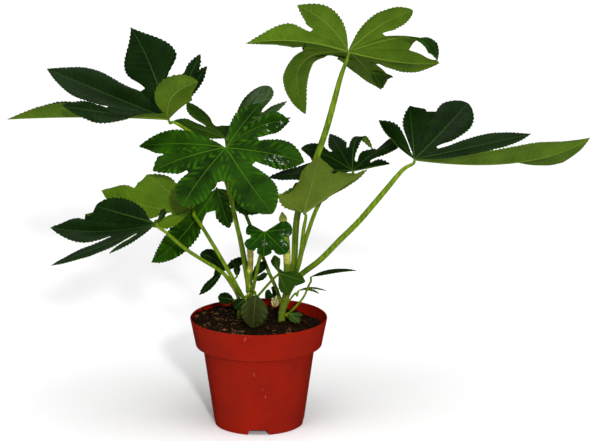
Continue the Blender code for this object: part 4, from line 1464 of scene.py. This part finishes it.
def make_crumbs(finishes):
    """Crumbs of soil and bits of bark in one object, and tan fibres in another, on the soil."""
    dice = random.Random(CRUMB_SEED)
    crumbs = bmesh.new()
    for _ in range(CRUMB_COUNT):
        x, y = spot_on_soil(dice, 0, math.tau)
        size = CRUMB_LEAST + CRUMB_SPREAD * dice.random() ** 3
        place = Vector((x, y, soil_top(x, y) + size * CRUMB_LIFT))
        made = bmesh.ops.create_icosphere(crumbs, subdivisions=1, radius=size)["verts"]
        stretch = Vector([dice.uniform(*span) for span in CRUMB_STRETCH])
        for vert in made:
            dent = 1 + CRUMB_DENT * noise.noise(vert.co / size + place * MM)
            vert.co = place + vert.co * dent * stretch
    for face in crumbs.faces:
        face.smooth = True
        bark = noise.noise(face.verts[0].co / BARK_PATCH_SIZE) > BARK_LEVEL
        face.material_index = 1 if bark else 0
    fibres = bmesh.new()
    for _ in range(FIBRE_COUNT):
        x, y = spot_on_soil(dice, *FIBRE_ARC)
        heading = dice.uniform(0, math.tau)
        length = dice.uniform(*FIBRE_LENGTHS)
        points = []
        for _ in range(FIBRE_STEPS + 1):
            x += math.cos(heading) * length / FIBRE_STEPS
            y += math.sin(heading) * length / FIBRE_STEPS
            heading += dice.uniform(-FIBRE_BEND, FIBRE_BEND)
            if math.hypot(x, y) > CRUMB_REACH:
                break
            rise = dice.uniform(*FIBRE_RISES)
            points.append(Vector((x, y, soil_top(x, y) + rise)))
        if len(points) > 2:
            radii = [dice.uniform(*FIBRE_RADII)] * len(points)
            add_tube(fibres, points, radii, FIBRE_SIDES)
    pieces = [("soil_crumbs", crumbs, finishes[:2]), ("soil_fibres", fibres, finishes[2:])]
    for name, mesh, finish in pieces:
        piece = object_of(name, mesh, finish)
        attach(piece, "root")


def make_floor(finish):
    mesh = bmesh.new()
    reach = FLOOR_REACH
    corners = [(-reach, -reach), (reach, -reach), (reach, reach), (-reach, reach)]
    mesh.faces.new([mesh.verts.new((*corner, FLOOR_LEVEL)) for corner in corners])
    floor = object_of("floor", mesh, [finish])
    floor.visible_glossy = False


def make_light(name, place, breadth, power, use):
    """A far light that shines from this side on the plant, this many degrees broad in the sky."""
    data = bpy.data.lights.new(name, "SUN")
    data.angle = math.radians(breadth)
    data.energy = power
    made = linked(name, data)
    made.location = place
    made.rotation_euler = (-Vector(place)).to_track_quat("-Z", "Y").to_euler()
    made.visible_diffuse = use != "reflections"
    made.visible_glossy = use != "surfaces"


def make_stage():
    """The floor, the lights, the white surroundings and the camera."""
    make_floor(floor_finish())
    for light in LIGHTS:
        make_light(*light)
    world = bpy.data.worlds.new("surroundings")
    world.use_nodes = True
    background = world.node_tree.nodes["Background"]
    background.inputs["Color"].default_value = (1, 1, 1, 1)
    background.inputs["Strength"].default_value = WORLD_STRENGTH
    world.cycles_visibility.glossy = False
    bpy.context.scene.world = world
    bpy.context.scene.view_settings.view_transform = "Standard"
    data = bpy.data.cameras.new("view")
    data.sensor_width = SENSOR_WIDTH
    data.lens = FOCAL_PIXELS / IMAGE_WIDTH * SENSOR_WIDTH
    camera = linked("view", data)
    camera.location = CAMERA_PLACE
    camera.rotation_euler = (math.radians(90) - CAMERA_PITCH, 0, 0)
    bpy.context.scene.camera = camera


def blade_finishes():
    """The upper and lower finish of each kind of leaf."""
    found = {}
    for kind, (upper, lower) in LEAF_LOOKS.items():
        spots = GLOSSY_PATCHES.get(kind, ())
        found[kind] = [
            leaf_upper("leaf_upper_" + kind, *upper, spots, CRINKLES.get(kind, SMOOTH_CRINKLE)),
            leaf_lower("leaf_lower_" + kind, *lower),
        ]
    return found


def main():
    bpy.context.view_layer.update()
    make_stage()
    make_pot(pot_finish())
    soil = soil_finish()
    make_soil(soil)
    bark = litter_finish("bark_bits", BITS_DARK, BITS_RED)
    fibre = litter_finish("dry_fibre", FIBRE_DARK, FIBRE_PALE)
    make_crumbs([soil, bark, fibre])
    stem_finishes = [trunk_finish(), stalk_finish()]
    for name, form in STEMS.items():
        make_stem(name, form, stem_finishes)
    finishes = blade_finishes()
    for name, form in [*LEAVES.items(), *BITS.items()]:
        Blade(name, form, finishes[LEAF_KINDS.get(name, "dark")]).finish()


main()
